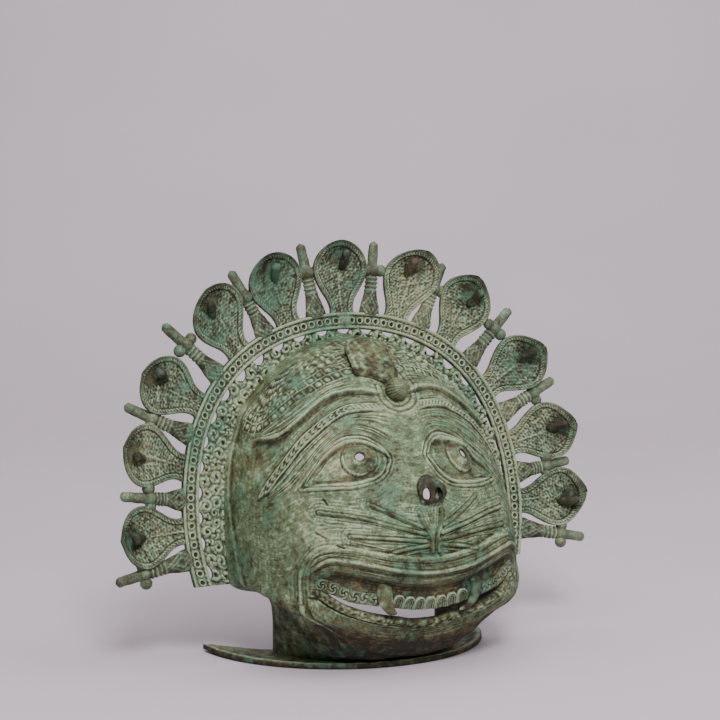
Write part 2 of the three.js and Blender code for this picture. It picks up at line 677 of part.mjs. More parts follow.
function halo() {
  const arch = joinAll([haloBand(), lace()]).subtract(footTrim());
  const hoods = HOOD_ANGLES.flatMap((angle) => (angle === 0 ? [hood(0)] : [hood(-angle), hood(angle)]));
  const spikes = SPIKE_ANGLES.flatMap((angle, i) => [spike(-angle, SPIKE_TIPS[i]), spike(angle, SPIKE_TIPS[i])]);
  return joinAll([arch, bandKnot(), ...hoods, ...spikes]);
}

function mask() {
  const shell = joinAll([outerHead(), faceRelief(), flange()]).subtract(headHollow()).subtract(piercings());
  return joinAll([shell, teeth(), fang(-1, 41), fang(1, 37), crestLeaf(), crestBall(), halo()]);
}

// The origin is on the ground, under the middle of the mask's box.
function centred(solid) {
  const { min, max } = solid.boundingBox();
  return solid.translate([0, -(min[1] + max[1]) / 2, -min[2]]);
}

function meshOf(name, solid, material) {
  const { numProp, vertProperties, triVerts } = solid.getMesh();
  const geometry = new THREE.BufferGeometry();
  const positions = new Float32Array((vertProperties.length / numProp) * 3);
  for (let i = 0; i < positions.length / 3; i += 1) {
    for (let k = 0; k < 3; k += 1) positions[3 * i + k] = vertProperties[numProp * i + k];
  }
  geometry.setAttribute('position', new THREE.BufferAttribute(positions, 3));
  geometry.setIndex([...triVerts]);
  geometry.computeVertexNormals();
  const mesh = new THREE.Mesh(geometry, material);
  mesh.name = name;
  return mesh;
}

const patinatedBrass = new THREE.MeshStandardMaterial({ color: 0x5f7860, roughness: 0.72, metalness: 0.35 });

const model = new THREE.Group();
model.add(meshOf('bhuta_mask', centred(mask()), patinatedBrass));

export default model;
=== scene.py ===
# %% [markdown]
# # A cast brass bhuta mask
# This lesson dresses a plain cast form as an old brass spirit mask: the head of a snarling cat, hollow
# like a bell, ringed by a halo of cobra hoods and finials, and standing on its own half-round flange.
# The plain form is loaded first and is never moved. Everything that is modelled below is laid over it.
# Lengths are in millimetres, and each piece is turned into metres as it is made.

# %% Load the plain form
import math

import bpy
import numpy as np
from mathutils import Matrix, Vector


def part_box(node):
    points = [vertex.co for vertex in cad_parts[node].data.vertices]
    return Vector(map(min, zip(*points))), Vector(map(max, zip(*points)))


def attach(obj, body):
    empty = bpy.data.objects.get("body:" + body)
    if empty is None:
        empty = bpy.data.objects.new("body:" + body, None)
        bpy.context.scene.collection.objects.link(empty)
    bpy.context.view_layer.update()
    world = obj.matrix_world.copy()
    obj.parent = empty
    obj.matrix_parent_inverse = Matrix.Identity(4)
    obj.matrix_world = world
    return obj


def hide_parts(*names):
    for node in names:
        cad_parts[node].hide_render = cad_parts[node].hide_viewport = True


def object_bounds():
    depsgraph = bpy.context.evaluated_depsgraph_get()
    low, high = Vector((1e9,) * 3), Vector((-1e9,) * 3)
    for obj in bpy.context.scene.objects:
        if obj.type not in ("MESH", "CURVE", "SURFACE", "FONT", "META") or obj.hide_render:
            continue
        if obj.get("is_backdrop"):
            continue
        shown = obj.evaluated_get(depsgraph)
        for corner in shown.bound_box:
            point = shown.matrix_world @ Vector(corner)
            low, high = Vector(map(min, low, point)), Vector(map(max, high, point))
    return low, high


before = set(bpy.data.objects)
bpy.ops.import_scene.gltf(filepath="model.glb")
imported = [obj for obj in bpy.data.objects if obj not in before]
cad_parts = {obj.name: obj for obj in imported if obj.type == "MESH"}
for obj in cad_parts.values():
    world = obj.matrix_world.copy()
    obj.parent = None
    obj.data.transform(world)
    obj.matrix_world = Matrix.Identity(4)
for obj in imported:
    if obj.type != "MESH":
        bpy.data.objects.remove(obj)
cad_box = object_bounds()
MM = 0.001
FAR = 1e9
FLANGE_RADIUS = 119.4
FLANGE_CENTRE_Y = 56.7
low_corner, high_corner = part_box("bhuta_mask")
SHIFT_Y = high_corner[1] / MM - FLANGE_CENTRE_Y
print("plain form, mm:", [round(v / MM, 1) for v in low_corner], [round(v / MM, 1) for v in high_corner])
print("the mask stands", round(SHIFT_Y, 2), "mm behind the origin of its own drawing")

# %% [markdown]
# ## Small tools
# Relief on a casting is a height above a smooth form. These helpers give soft steps, a swell that comes
# and goes, half-round wires, grooves, soft spots, and an unevenness like that of wax modelled by hand.
# Each works on whole arrays at once. A line is read from a few stops by a smooth curve, and one that
# starts at zero, on the midline, leaves it level. A path in several numbers is nudged off zero, so that
# its ends stay free.

# %% Soft steps, wires and unevenness
def ease(x, low, high):
    t = np.clip((x - low) / (high - low), 0, 1)
    return t * t * (3 - 2 * t)


def swell(x, start, full, fade, end):
    return ease(x, start, full) * (1 - ease(x, fade, end))


def spot(distance, radius):
    return np.exp(-(distance / radius) ** 2)


def wire(distance, half_width, height):
    t = np.clip(np.abs(distance) / half_width, 0, 1)
    return height * np.sqrt(1 - t * t)


def groove(distance, half_width, depth):
    t = np.clip(np.abs(distance) / half_width, 0, 1)
    return -depth * (1 - t * t) ** 2


WAVES = np.array([[0.61, 0.37, 0.70], [-0.45, 0.84, 0.30], [0.23, -0.58, 0.78], [0.80, 0.10, -0.59]])


def uneven(points, size, turn=0.0):
    waves = points @ WAVES.T * (2 * math.pi / size) + turn + np.arange(4) * 1.7
    bent = waves + 1.3 * np.sin(waves[..., [1, 2, 3, 0]] * 0.53)
    return np.sin(bent).mean(-1)


def read_line(stops, x):
    xs, ys = np.array(stops, float).T
    slope = np.gradient(ys, xs)
    if xs[0] == 0:
        slope[0] = 0
    i = np.clip(np.searchsorted(xs, x, side="right") - 1, 0, len(xs) - 2)
    width = xs[i + 1] - xs[i]
    t = np.clip((x - xs[i]) / width, 0, 1)
    start = ys[i] * (1 + 2 * t) * (1 - t) ** 2 + slope[i] * width * t * (1 - t) ** 2
    return start + ys[i + 1] * t * t * (3 - 2 * t) - slope[i + 1] * width * t * t * (1 - t)


NUDGE = 1e-9


def smooth_path(stops, count):
    stops = np.array(stops, float)
    knots = np.arange(len(stops)) + NUDGE
    fine = np.linspace(0, len(stops) - 1, count) + NUDGE
    return [read_line(np.stack([knots, values], -1), fine) for values in stops.T]


def unit(v):
    return v / np.maximum(np.linalg.norm(v, axis=-1, keepdims=True), 1e-9)


# %% [markdown]
# ## Closed bodies from grids of points
# Most parts of the mask are a skin with another skin behind it, joined round all borders, so that each
# is a closed body as a casting is. One function makes such a twin sheet from two grids of points, with
# any cells left out as piercings, and another makes a swept or lofted body from rings.

# %% Sheets and lofts
def twin_sheet(front, back, keep=None):
    rows, columns = front.shape[:2]
    index = np.arange(rows * columns).reshape(rows, columns)
    if keep is None:
        keep = np.ones((rows - 1, columns - 1), bool)
    quads = np.stack([index[:-1, :-1], index[:-1, 1:], index[1:, 1:], index[1:, :-1]], -1)[keep]
    behind = rows * columns
    faces = [quads, quads[:, ::-1] + behind]
    padded = np.pad(keep, 1)
    below, above = padded[:-1, 1:-1], padded[1:, 1:-1]
    left, right = padded[1:-1, :-1], padded[1:-1, 1:]
    a, b = index[:, :-1], index[:, 1:]
    c, d = index[:-1, :], index[1:, :]
    borders = [(above & ~below, b, a), (below & ~above, a, b), (right & ~left, c, d), (left & ~right, d, c)]
    for where, start, end in borders:
        s, e = start[where], end[where]
        faces.append(np.stack([s, e, e + behind, s + behind], -1))
    points = np.concatenate([front.reshape(-1, 3), back.reshape(-1, 3)])
    return points, np.concatenate(faces)


def both_skins(mark, behind):
    return np.concatenate([mark.ravel(), np.full(mark.size, behind)])


def loft(rings):
    rings = np.asarray(rings, float)
    count, sides = rings.shape[:2]
    index = np.arange(count * sides).reshape(count, sides)
    turned = np.roll(index, -1, axis=1)
    quads = np.stack([index[:-1], turned[:-1], turned[1:], index[1:]], -1).reshape(-1, 4)
    points = rings.reshape(-1, 3)
    hubs = np.array([rings[0].mean(0), rings[-1].mean(0)])
    first = np.full(sides, len(points))
    caps = [np.stack([first, turned[0], index[0], first], -1),
            np.stack([first + 1, index[-1], turned[-1], first + 1], -1)]
    return np.concatenate([points, hubs]), np.concatenate([quads, *caps])


def gather(parts):
    points, faces, offset = [], [], 0
    for p, f in parts:
        points.append(p)
        faces.append(f + offset)
        offset += len(p)
    return np.concatenate(points), np.concatenate(faces)


# %% [markdown]
# ## Turning bodies into pieces
# A piece is a mesh object that rides the mask's one body and wears its material slot. Nothing is let
# below the floor, faces are made to point outwards, and a piece with too many triangles is thinned by a
# Decimate modifier. A mark is a number kept for every point, such as how deep it lies in a recess, and
# the patina reads it later.

# %% Pieces and marks
def tidy_triangles(points, faces):
    triangles = np.concatenate([faces[:, [0, 1, 2]], faces[:, [0, 2, 3]]])
    a, b, c = triangles.T
    triangles = triangles[(a != b) & (b != c) & (c != a)]
    used, inverse = np.unique(triangles, return_inverse=True)
    return points[used], inverse.reshape(-1, 3), used


def keep_result(piece):
    graph = bpy.context.evaluated_depsgraph_get()
    made = bpy.data.meshes.new_from_object(piece.evaluated_get(graph))
    piece.modifiers.clear()
    old = piece.data
    piece.data = made
    bpy.data.meshes.remove(old)
    made.name = piece.name


def add_piece(name, points, faces, marks=None, most=None):
    points, triangles, used = tidy_triangles(points, faces)
    points[:, 2] = np.maximum(points[:, 2], 0)
    volume = np.einsum("ij,ij->i", points[triangles[:, 0]],
                       np.cross(points[triangles[:, 1]], points[triangles[:, 2]])).sum()
    if volume < 0:
        triangles = triangles[:, ::-1]
    mesh = bpy.data.meshes.new(name)
    mesh.from_pydata(((points + [0, SHIFT_Y, 0]) * MM).tolist(), [], triangles.tolist())
    for key, values in (marks or {}).items():
        layer = mesh.attributes.new(key, "FLOAT", "POINT")
        layer.data.foreach_set("value", np.asarray(values, float)[used])
    mesh.shade_smooth()
    piece = bpy.data.objects.new(name, mesh)
    bpy.context.scene.collection.objects.link(piece)
    count = len(mesh.polygons)
    if most and count > most:
        piece.modifiers.new("thin", "DECIMATE").ratio = most / count
        keep_result(piece)
    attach(piece, "root")
    print(f"{name}: {count} triangles made, {len(piece.data.polygons)} kept")
    return piece


def blur(grid, reach):
    for axis in (0, 1):
        padded = np.pad(grid, [(reach, reach) if k == axis else (0, 0) for k in (0, 1)], mode="edge")
        total = np.cumsum(padded, axis=axis)
        total = np.concatenate([np.zeros_like(np.take(total, [0], axis)), total], axis)
        span = 2 * reach + 1
        size = grid.shape[axis]
        grid = (np.take(total, np.arange(size) + span, axis) - np.take(total, np.arange(size), axis)) / span
    return grid


def recess_of(height, reach):
    return blur(blur(height, reach), reach) - height


def recess_mark(height, fine=2, coarse=6):
    return 0.65 * np.tanh(recess_of(height, fine) / 0.42) + 0.4 * np.tanh(recess_of(height, coarse) / 1.2)


# %% [markdown]
# ## The form of the head
# The head is a surface with two directions: degrees of longitude from the midline of the face, and
# seventeen levels from the foot of the neck up to the crown. A row gives the midline point (y, z), the
# rear edge (x, y, z) and how square the section between them is, which is most at the jaw. The eyes
# bulge a little and sit in shallow sockets.

# %% The surface of the head
LEVELS = np.array([
    [-44, 0, 75.5, 20.3, 0, 2.2],
    [-57, 5, 75.5, 20.3, 16, 2.5],
    [-70, 12, 76, 20, 31, 3],
    [-82, 24, 80, 18, 45, 3.3],
    [-90, 36, 95, 14, 56, 3.3],
    [-97, 47, 117, 11, 62, 2.8],
    [-105, 64, 119, 14, 82, 2.4],
    [-108, 82, 119, 17, 102, 2.3],
    [-106, 100, 118, 20, 121, 2.2],
    [-101, 120, 116, 24, 140, 2.1],
    [-93, 142, 112, 27, 160, 2],
    [-82, 163, 105, 30, 180, 2],
    [-68, 184, 95, 34, 199, 2],
    [-48, 205, 79, 37, 217, 2],
    [-22, 225, 57, 39, 233, 2],
    [8, 240, 32, 41, 244, 2],
    [41, 250, 0, 42, 250, 2],
])
CROWN = len(LEVELS) - 1
EDGE_X, SQUARENESS = 2, 5
WALL = 3.2
CHEEK_LIFT = 8
EYE_BULGE = 4.5
SOCKET_DEPTH = 2.5
LEFT_PUPIL = (-26, 11.1)
RIGHT_PUPIL = (24, 10.97)
PUPIL_RADIUS = 3.4
EYEBALL_RADIUS = 19


def head_point(longitude, level):
    longitude, level = np.broadcast_arrays(np.asarray(longitude, float), np.asarray(level, float))
    t = np.clip(level, 0, CROWN - 1e-6)
    i = np.floor(t).astype(int)
    f = (t - i)[..., None]
    a, b, c, d = (LEVELS[np.clip(i + k, 0, CROWN)] for k in (-1, 0, 1, 2))
    row = 2 * b + (c - a) * f + (2 * a - 5 * b + 4 * c - d) * f ** 2 + (3 * b - a - 3 * c + d) * f ** 3
    front_y, front_z, edge_x, edge_y, edge_z, square = np.moveaxis(0.5 * row, -1, 0)
    s = np.sin(np.radians(longitude))
    c = np.maximum(np.cos(np.radians(longitude)), 0)
    side = np.sign(s) * np.abs(s) ** (2 / square)
    fore = c ** (2 / square)
    lift = CHEEK_LIFT * swell(np.abs(longitude), 50, 74, 80, 90) * swell(level, 2.4, 4, 4.6, 6.4)
    z = edge_z + (front_z - edge_z) * fore + lift
    return np.stack([edge_x * side, edge_y + (front_y - edge_y) * fore, z], -1)


def head_normal(longitude, level):
    lon = np.clip(longitude, -89.5, 89.5)
    t = np.clip(level, 0.05, CROWN - 0.15)
    across = head_point(lon + 0.4, t) - head_point(lon - 0.4, t)
    up = head_point(lon, t + 0.04) - head_point(lon, t - 0.04)
    return unit(np.cross(across, up))


def eye_rise(points):
    rise = np.zeros(points.shape[:-1])
    for pupil in (LEFT_PUPIL, RIGHT_PUPIL):
        distance = np.linalg.norm(points - head_point(*pupil), axis=-1)
        rise += EYE_BULGE * (1 - ease(distance, 0, EYEBALL_RADIUS))
        rise -= SOCKET_DEPTH * (1 - ease(distance, 12, 2 * EYEBALL_RADIUS))
    return rise


def skin_point(longitude, level, out=0.0):
    points = head_point(longitude, level)
    return points + head_normal(longitude, level) * (eye_rise(points) + out)[..., None]


print("head is", 2 * head_point(90, 7)[0], "mm wide and its crown is at", head_point(0, CROWN)[2], "mm")

# %% [markdown]
# ## The lines of the face
# The modeller drew the face with long flowing lines: the ridge of the jaw, the lips, the lids, the rope
# of the brow and the headband. Each is a list of degrees from the midline and levels. The rows of the
# grid run along these lines, so lips and lids stay crisp however strongly they curve.

# %% Lines as degrees from the midline and level
JAW_RIDGE = [[0, 2], [8, 2.23], [15, 2.43], [23, 2.67], [30, 2.93], [36, 3.25], [39, 3.7], [41, 4.5],
             [44, 5.4], [49, 5.75], [90, 3.3]]
INNER_LIP = [[0, 3.63], [5, 3.73], [13, 4], [22, 4.55], [31, 5.25], [38, 5.7], [49, 5.92], [90, 4.2]]
GAP_BOTTOM = [[0, 4.35], [6, 4.72], [14, 5.03], [23, 5.35], [31, 5.62], [36, 5.83], [41, 6.06], [49, 6.08],
              [90, 4.6]]
GAP_TOP = [[0, 5.3], [11, 5.53], [19, 5.7], [28, 5.85], [36, 6.1], [41, 6.18], [49, 6.14], [90, 5]]
GUM = [[0, 5.95], [8, 6.07], [17, 6.3], [25, 6.47], [34, 6.6], [42, 6.42], [49, 6.22], [90, 5.6]]
LIP_EDGE = [[0, 6.9], [12, 7.03], [22, 7.23], [31, 7.33], [39, 7.27], [44, 6.9], [49, 6.45], [90, 6.4]]
LIP_LINE = [[0, 7.53], [16, 7.7], [33, 7.9], [41, 7.73], [46, 7.43], [49, 6.97], [90, 7]]
LEFT_EYE_TOP = [[0, 11.15], [13, 11.15], [15.4, 11.38], [20.7, 11.68], [28.5, 11.76], [36.4, 11.43],
                [43.4, 10.68], [48.7, 9.85], [69, 8.75], [90, 8.9]]
LEFT_EYE_BOTTOM = [[0, 11.0], [13, 11.0], [15.4, 10.85], [18, 10.55], [24, 10.28], [34.6, 10.02],
                   [48.7, 9.78], [69, 8.5], [90, 8.5]]
RIGHT_EYE_TOP = [[0, 11.2], [5, 11.25], [7.8, 11.6], [12.6, 11.77], [19, 11.72], [26, 11.43], [33.5, 10.75],
                 [42, 9.85], [69, 8.75], [90, 8.9]]
RIGHT_EYE_BOTTOM = [[0, 11.05], [5, 11.05], [7.8, 10.65], [13.5, 10.2], [23, 9.97], [42, 9.75], [69, 8.5],
                    [90, 8.5]]
BROW_ROPE = [[0, 12.75], [19, 12.83], [32, 12.63], [43, 12.03], [51, 11.3], [59, 10.27], [69, 9.07],
             [90, 9.4]]
HEADBAND_FOOT = [[0, 13.2], [22, 13.3], [31, 13.23], [44, 12.8], [52, 12.13], [60, 11.43], [72, 11],
                 [90, 11]]
LATTICE_FOOT = [[0, 13.75], [19, 13.93], [33, 13.7], [45, 13.3], [55, 12.7], [63, 12.03], [71, 11.33],
                [90, 11.2]]
HEADBAND_TOP = [[0, 14.95], [25, 14.97], [45, 14.73], [68, 14.07], [77, 13.23], [84, 11.8], [90, 11.7]]
CORNER_LOOP = [[36, 7.97], [42, 7.82], [46.5, 7.45], [49.5, 6.9], [50.5, 6.3], [49.5, 5.7], [47.5, 5.1],
               [44.5, 4.5], [41, 3.85], [37.5, 3.35]]
GAP_END = 41.5
CORNER = 49

COLUMNS = 520
u = np.linspace(-1, 1, COLUMNS + 1)
lon = 90 * np.sign(u) * np.abs(u) ** 1.15
away = np.abs(lon)


def eye_line(left, right):
    return np.where(lon < 0, read_line(left, away), read_line(right, away))


EYE_TOP = eye_line(LEFT_EYE_TOP, RIGHT_EYE_TOP)
EYE_BOTTOM = eye_line(LEFT_EYE_BOTTOM, RIGHT_EYE_BOTTOM)
jaw, inner_lip, gap_bottom, gap_top, gum, lip_edge, lip_line, rope, foot, lattice, top = (
    read_line(stops, away) for stops in (
        JAW_RIDGE, INNER_LIP, GAP_BOTTOM, GAP_TOP, GUM, LIP_EDGE, LIP_LINE, BROW_ROPE, HEADBAND_FOOT,
        LATTICE_FOOT, HEADBAND_TOP))

# %% [markdown]
# ## Rows of the skin
# Each main row has a level and a height for every column. Between two main rows the finer rows are
# spread evenly and the height changes softly. This gives the large relief: rolled lips, a sunken gum,
# the lids and the raised headband. On the face a cell is about half a millimetre high. The loops at
# the corners of the mouth are where the heights of the lips run out.

# %% Main rows
near_mouth = 1 - ease(away, CORNER - 8, CORNER + 2)
shift_share = 1 - 0.6 * ease(away, 30, CORNER)
lid = ease(EYE_TOP - EYE_BOTTOM, 0.05, 0.3) * (1 - ease(away, 47, 52))
zero = np.zeros_like(away)
step = 0.12 * shift_share
gum_depth = near_mouth * (1 - 0.6 * ease(away, 32, 45))
hook_depth = near_mouth * (1 - 0.4 * ease(away, 32, 45))


def between(start, end):
    return swell(away, start - 8, start + 8, end - 2, end + 4)


main_rows = [
    (zero, zero), (zero + 0.9, zero), (zero + 1.3, zero),
    (jaw - 0.4 * shift_share, -2.5 * near_mouth), (jaw, 1.6 * near_mouth),
    (jaw + 0.3, 1.0 * near_mouth), (0.4 * jaw + 0.6 * inner_lip, 0.2 * near_mouth),
    (inner_lip, -1.5 * near_mouth), (gap_bottom - step, -1.0 * near_mouth),
    (gap_bottom, -2.0 * near_mouth), (gap_top, -3.0 * near_mouth),
    (gap_top + step, -4.0 * hook_depth), (gum, -6.5 * gum_depth),
    (lip_edge - 0.2 * shift_share, 0.5 * near_mouth), (lip_edge + 0.08 * shift_share, 3.6 * near_mouth),
    (0.5 * lip_edge + 0.5 * lip_line + 0.07, 2.2 * near_mouth), (lip_line, 2.6 * near_mouth),
    (lip_line + 0.22 * shift_share, zero), (0.5 * (lip_line + EYE_BOTTOM), zero),
    (EYE_BOTTOM - 0.14, zero), (EYE_BOTTOM, 1.0 * lid), (0.82 * EYE_BOTTOM + 0.18 * EYE_TOP, -0.8 * lid),
    (0.5 * (EYE_BOTTOM + EYE_TOP), zero), (0.16 * EYE_BOTTOM + 0.84 * EYE_TOP, -1 * lid),
    (EYE_TOP, 1.4 * lid), (EYE_TOP + 0.16, zero), (rope - 0.17, -0.6 * between(15, 68)),
    (rope, 1.0 * between(15, 68)), (rope + 0.17, -0.3 * between(15, 68)),
    (foot - 0.05, -0.8 * between(12, 72)), (foot + 0.05, 2.0 * between(12, 72)),
    (lattice, 1.4 * between(12, 76)), (top - 0.05, 1.2 * between(12, 84)), (top + 0.1, zero),
    (zero + 15.3, zero), (zero + CROWN - 0.1, zero),
]
print("main rows:", len(main_rows))

# %% [markdown]
# ## The grid of the skin
# The main rows are pushed apart where they would cross, and finer rows fill the gaps between them. Each
# point of the grid now has a longitude, a level, a height and the normal of the form below it.

# %% Finer rows
GAP_LOW, GAP_HIGH = 9, 10
ROWS_ROUND_GAP = 7.5
NECK_ROWS = 3
NECK_CELL, FACE_CELL = 2.2, 0.48
MM_PER_LEVEL, MM_PER_DEGREE = 20, 2.1
levels = [main_rows[0][0]]
for level, _ in main_rows[1:]:
    levels.append(np.maximum(level, levels[-1] + 0.006))
levels = np.minimum(np.array(levels), CROWN - 0.05)
rises = np.array([rise for _, rise in main_rows])

row_levels, row_rises, row_place, row_mm = [levels[0]], [rises[0]], [0.0], [0.0]
middle = np.abs(away - 25) < 25
for k in range(len(levels) - 1):
    gap_mm = MM_PER_LEVEL * np.mean((levels[k + 1] - levels[k])[middle])
    cells = max(2, round(gap_mm / (NECK_CELL if k < NECK_ROWS else FACE_CELL)))
    for i in range(1, cells + 1):
        t = i / cells
        soft = t * t * (3 - 2 * t)
        row_levels.append(levels[k] + (levels[k + 1] - levels[k]) * t)
        row_rises.append(rises[k] + (rises[k + 1] - rises[k]) * soft)
        row_place.append(k + t)
        row_mm.append(row_mm[-1] + gap_mm / cells)
level = np.array(row_levels)
rise = np.array(row_rises)
place = np.array(row_place)
longitude = np.broadcast_to(lon, level.shape)
loop_away, loop_level = np.array(CORNER_LOOP[::-1]).T
in_loop = 1 - ease(np.abs(longitude) - np.interp(level, loop_level, loop_away), -7.5, 1)
in_lips = near_mouth * in_loop
lip_rows = np.abs(place - GAP_HIGH) < ROWS_ROUND_GAP
rise = np.where(lip_rows[:, None], rise * in_loop, rise)
base = head_point(longitude, level)
normal = head_normal(longitude, level)
print("grid of the skin:", level.shape)

# %% [markdown]
# ## Distances on the skin
# Fine relief needs true distances. For a line of the face, this cell gives each grid point's distance
# across the line and its place along it, both in millimetres. Short marks such as whiskers use the
# distance to a smooth path in space instead.

# %% Distance across and along a line
fine_levels = np.linspace(0, CROWN - 0.02, 400)
fine_points = head_point(lon[None, :], fine_levels[:, None])
steps = np.linalg.norm(np.diff(fine_points, axis=0), axis=-1)
climb = np.concatenate([np.zeros((1, len(lon))), np.cumsum(steps, axis=0)])


def climbed(levels_asked):
    asked = np.atleast_2d(levels_asked)
    place_in = np.clip(asked / fine_levels[1], 0, len(fine_levels) - 1.001)
    i = place_in.astype(int)
    column = np.broadcast_to(np.arange(len(lon)), asked.shape)
    lower, upper = climb[i, column], climb[i + 1, column]
    return lower + (upper - lower) * (place_in - i)


climb_here = climbed(level)


def beside(line):
    path = head_point(lon, line)
    along = np.gradient(path, axis=0)
    run = np.concatenate([[0], np.cumsum(np.linalg.norm(np.diff(path, axis=0), axis=-1))])
    run -= run[len(run) // 2]
    upward = unit(head_point(lon, line + 0.02) - head_point(lon, line - 0.02))
    cosine = np.einsum("ij,ij->i", unit(along), upward)
    rise_to = climb_here - climbed(line)
    return rise_to * np.sqrt(1 - cosine ** 2), run + rise_to * cosine


def near_path(stops):
    path = head_point(*smooth_path(stops, 8 * len(stops)))
    inside = ((base > path.min(0) - 12) & (base < path.max(0) + 12)).all(-1)
    points = base[inside]
    best = np.full(len(points), FAR)
    for start, end in zip(path[:-1], path[1:]):
        edge = end - start
        t = np.clip((points - start) @ edge / max(edge @ edge, 1e-9), 0, 1)
        best = np.minimum(best, np.linalg.norm(points - start - t[:, None] * edge, axis=-1))
    distances = np.full(base.shape[:2], FAR)
    distances[inside] = best
    return distances


print("from foot to crown along the midline:", round(climb[-1, COLUMNS // 2]), "mm")

# %% [markdown]
# ## Threads on the face
# Almost every band of the face is covered with fine lines that follow it, as if wax threads had been
# laid side by side. Each row below gives the two lines that the threads run between, how many there
# are, how high they stand and where they show. All relief is a height on the grid.

# %% Threads
relief = np.zeros_like(level)
side_sign = np.sign(longitude)
away_grid = np.abs(longitude)
temple = 1 - ease(away_grid, 60, 72)
muzzle = (1 - ease(away_grid, 38, 54)) * swell(level, 7.6, 7.9, 9.4, 10)
cheek = swell(away_grid, 40, 50, 70, 82) * swell(level, 7.4, 8.2, 9.6, 11)
THREAD_BANDS = [
    (EYE_TOP + 0.12, rope - 0.17, 7, 0.75, temple * ease(away_grid, 4, 14)),
    (rope + 0.19, foot - 0.06, 6, 0.55, temple * ease(away_grid, 8, 20)),
    (foot + 0.08, lattice - 0.02, 4, 0.9, between(14, 70)),
    (lip_edge + 0.1, lip_line - 0.02, 7, 0.6, in_lips),
    (lip_line + 0.02, lip_line + 0.42, 3, 0.7, in_lips),
    (gum, lip_edge - 0.05, 7, 0.5, in_lips),
    (jaw + 0.06, inner_lip, 11, 0.45, in_lips),
    (jaw - 1.3, jaw - 0.1, 12, 0.25, in_lips),
    (lip_line + 0.4, EYE_BOTTOM - 0.15, 24, 0.42, muzzle),
    (lip_line + 0.4, EYE_BOTTOM + 0.6, 26, 0.14, cheek),
]
wobble = 0.9 * uneven(base, 60)
for low, high, count, stand, where in THREAD_BANDS:
    t = (level - low) / np.maximum(high - low, 1e-3)
    strength = np.clip(0.62 + 1.1 * uneven(base, 34, 2.0 + count) + 0.35 * uneven(base, 13, count), 0.1, 1.3)
    spread = t + 0.05 * np.sin(2 * math.pi * t * 2.3 + count)
    shown = stand * strength * where * swell(t, 0.0, 0.05, 0.95, 1.0)
    relief += shown * (np.abs(np.cos(math.pi * count * spread + wobble)) - 0.55)
print("threads stand from", round(relief.min(), 2), "to", round(relief.max(), 2), "mm")

# %% [markdown]
# ## The rope of the brow
# A rope lies over each brow between two thin wires. On the left most of it is stamped with small Cs.
# The rest of it is knurled, as if rolled under a file.

# %% Rope of the brow
STAMP_PITCH = 6.0
KNURL_PITCH = 3.6
rope_across, rope_along = beside(rope)
stamped = swell(away_grid, 27, 31, 66, 68)
knurled = swell(away_grid, 8, 14, 60, 69) * (1 - stamped)
rope_ends = swell(away_grid, 10, 18, 67, 69)
rope_half = 2.9 * (1 - 0.75 * ease(away_grid, 63, 69))
for offset in (-rope_half, rope_half):
    relief += wire(rope_across - offset, 0.8, 1.1) * rope_ends
    relief += groove(rope_across - 1.55 * offset, 1.1, 0.7) * rope_ends
phase = np.mod(rope_along, STAMP_PITCH) - STAMP_PITCH / 2
around_ring = np.arctan2(rope_across, -phase * side_sign)
c_stamp = wire(np.hypot(phase, rope_across) - 1.6, 0.65, 1.2) * (np.abs(around_ring) > 0.7)
relief += (c_stamp - 0.7 * (np.abs(rope_across) < 2.3)) * stamped * (longitude < 0)
slanted = np.mod(rope_along - 0.8 * rope_across * side_sign, KNURL_PITCH)
knurl = wire(slanted - KNURL_PITCH / 2, 1.3, 0.9) * (np.abs(rope_across) < 2.1)
relief += knurl * np.where(longitude < 0, knurled * 0.6, np.maximum(knurled, stamped))
print("the rope is", round(rope_along.max() - rope_along.min()), "mm long")

# %% [markdown]
# ## The lattice of the headband
# The headband carries a lattice of thin wires with a lump of metal in each cell. It is worn away
# towards the top, where the metal is only rough. A ledge with a groove under it runs along its foot.

# %% Lattice of the headband
CELL = 8.6
grid_across, grid_along = beside(lattice)
below_top, _ = beside(top)
in_band = ease(grid_across, -0.4, 0.4) * ease(-below_top, -0.6, 0.6) * swell(away_grid, 17, 22, 82, 84)
row_of = grid_across + uneven(base, 40, 1.3)
cell_v = np.mod(row_of, CELL) - CELL / 2
cell_u = np.mod(grid_along + 0.9 * uneven(base, 33, 2.2) + 2 * np.floor(row_of / CELL), CELL) - CELL / 2
wires = np.maximum(*(wire(np.abs(v) - CELL / 2, 0.65, 1.15) for v in (cell_v, cell_u)))
lump = 1.6 * np.clip(1 - (cell_u ** 2 + cell_v ** 2) / 9, 0, 1)
lump = lump * np.clip(0.6 + 1.1 * uneven(base, 19, 1.0), 0, 2)
kept = (1 - 0.8 * ease(row_of, 1.6 * CELL, 2.6 * CELL)) * np.clip(0.9 + 0.7 * uneven(base, 45, 4.0), 0, 1)
rough = uneven(base, 6.5, 1.1) + 0.6 * uneven(base, 3.8, 0.2)
relief += in_band * (wires * kept + lump - 0.5 + (1.2 - kept) * 0.5 * rough)
relief += 0.5 * ease(level, 14.2, 14.8) * (1 - ease(away_grid, 60, 75)) * rough
ledge_across, _ = beside(foot)
relief += between(14, 71) * (groove(ledge_across + 1.5, 0.9, 0.8) + wire(ledge_across - 1.3, 1.3, 0.6))
print("rows of cells in the lattice:", int(row_of[in_band > 0.5].max() / CELL) + 1)

# %% [markdown]
# ## The lips
# The lower lip has a ragged strip of metal along its inner edge, and grooves and wires line the upper
# lip. At each corner of the mouth the lips meet in a loop of fine furrows. Places that hands and cloth
# have rubbed are collected as well, since dirt doesn't stay there.

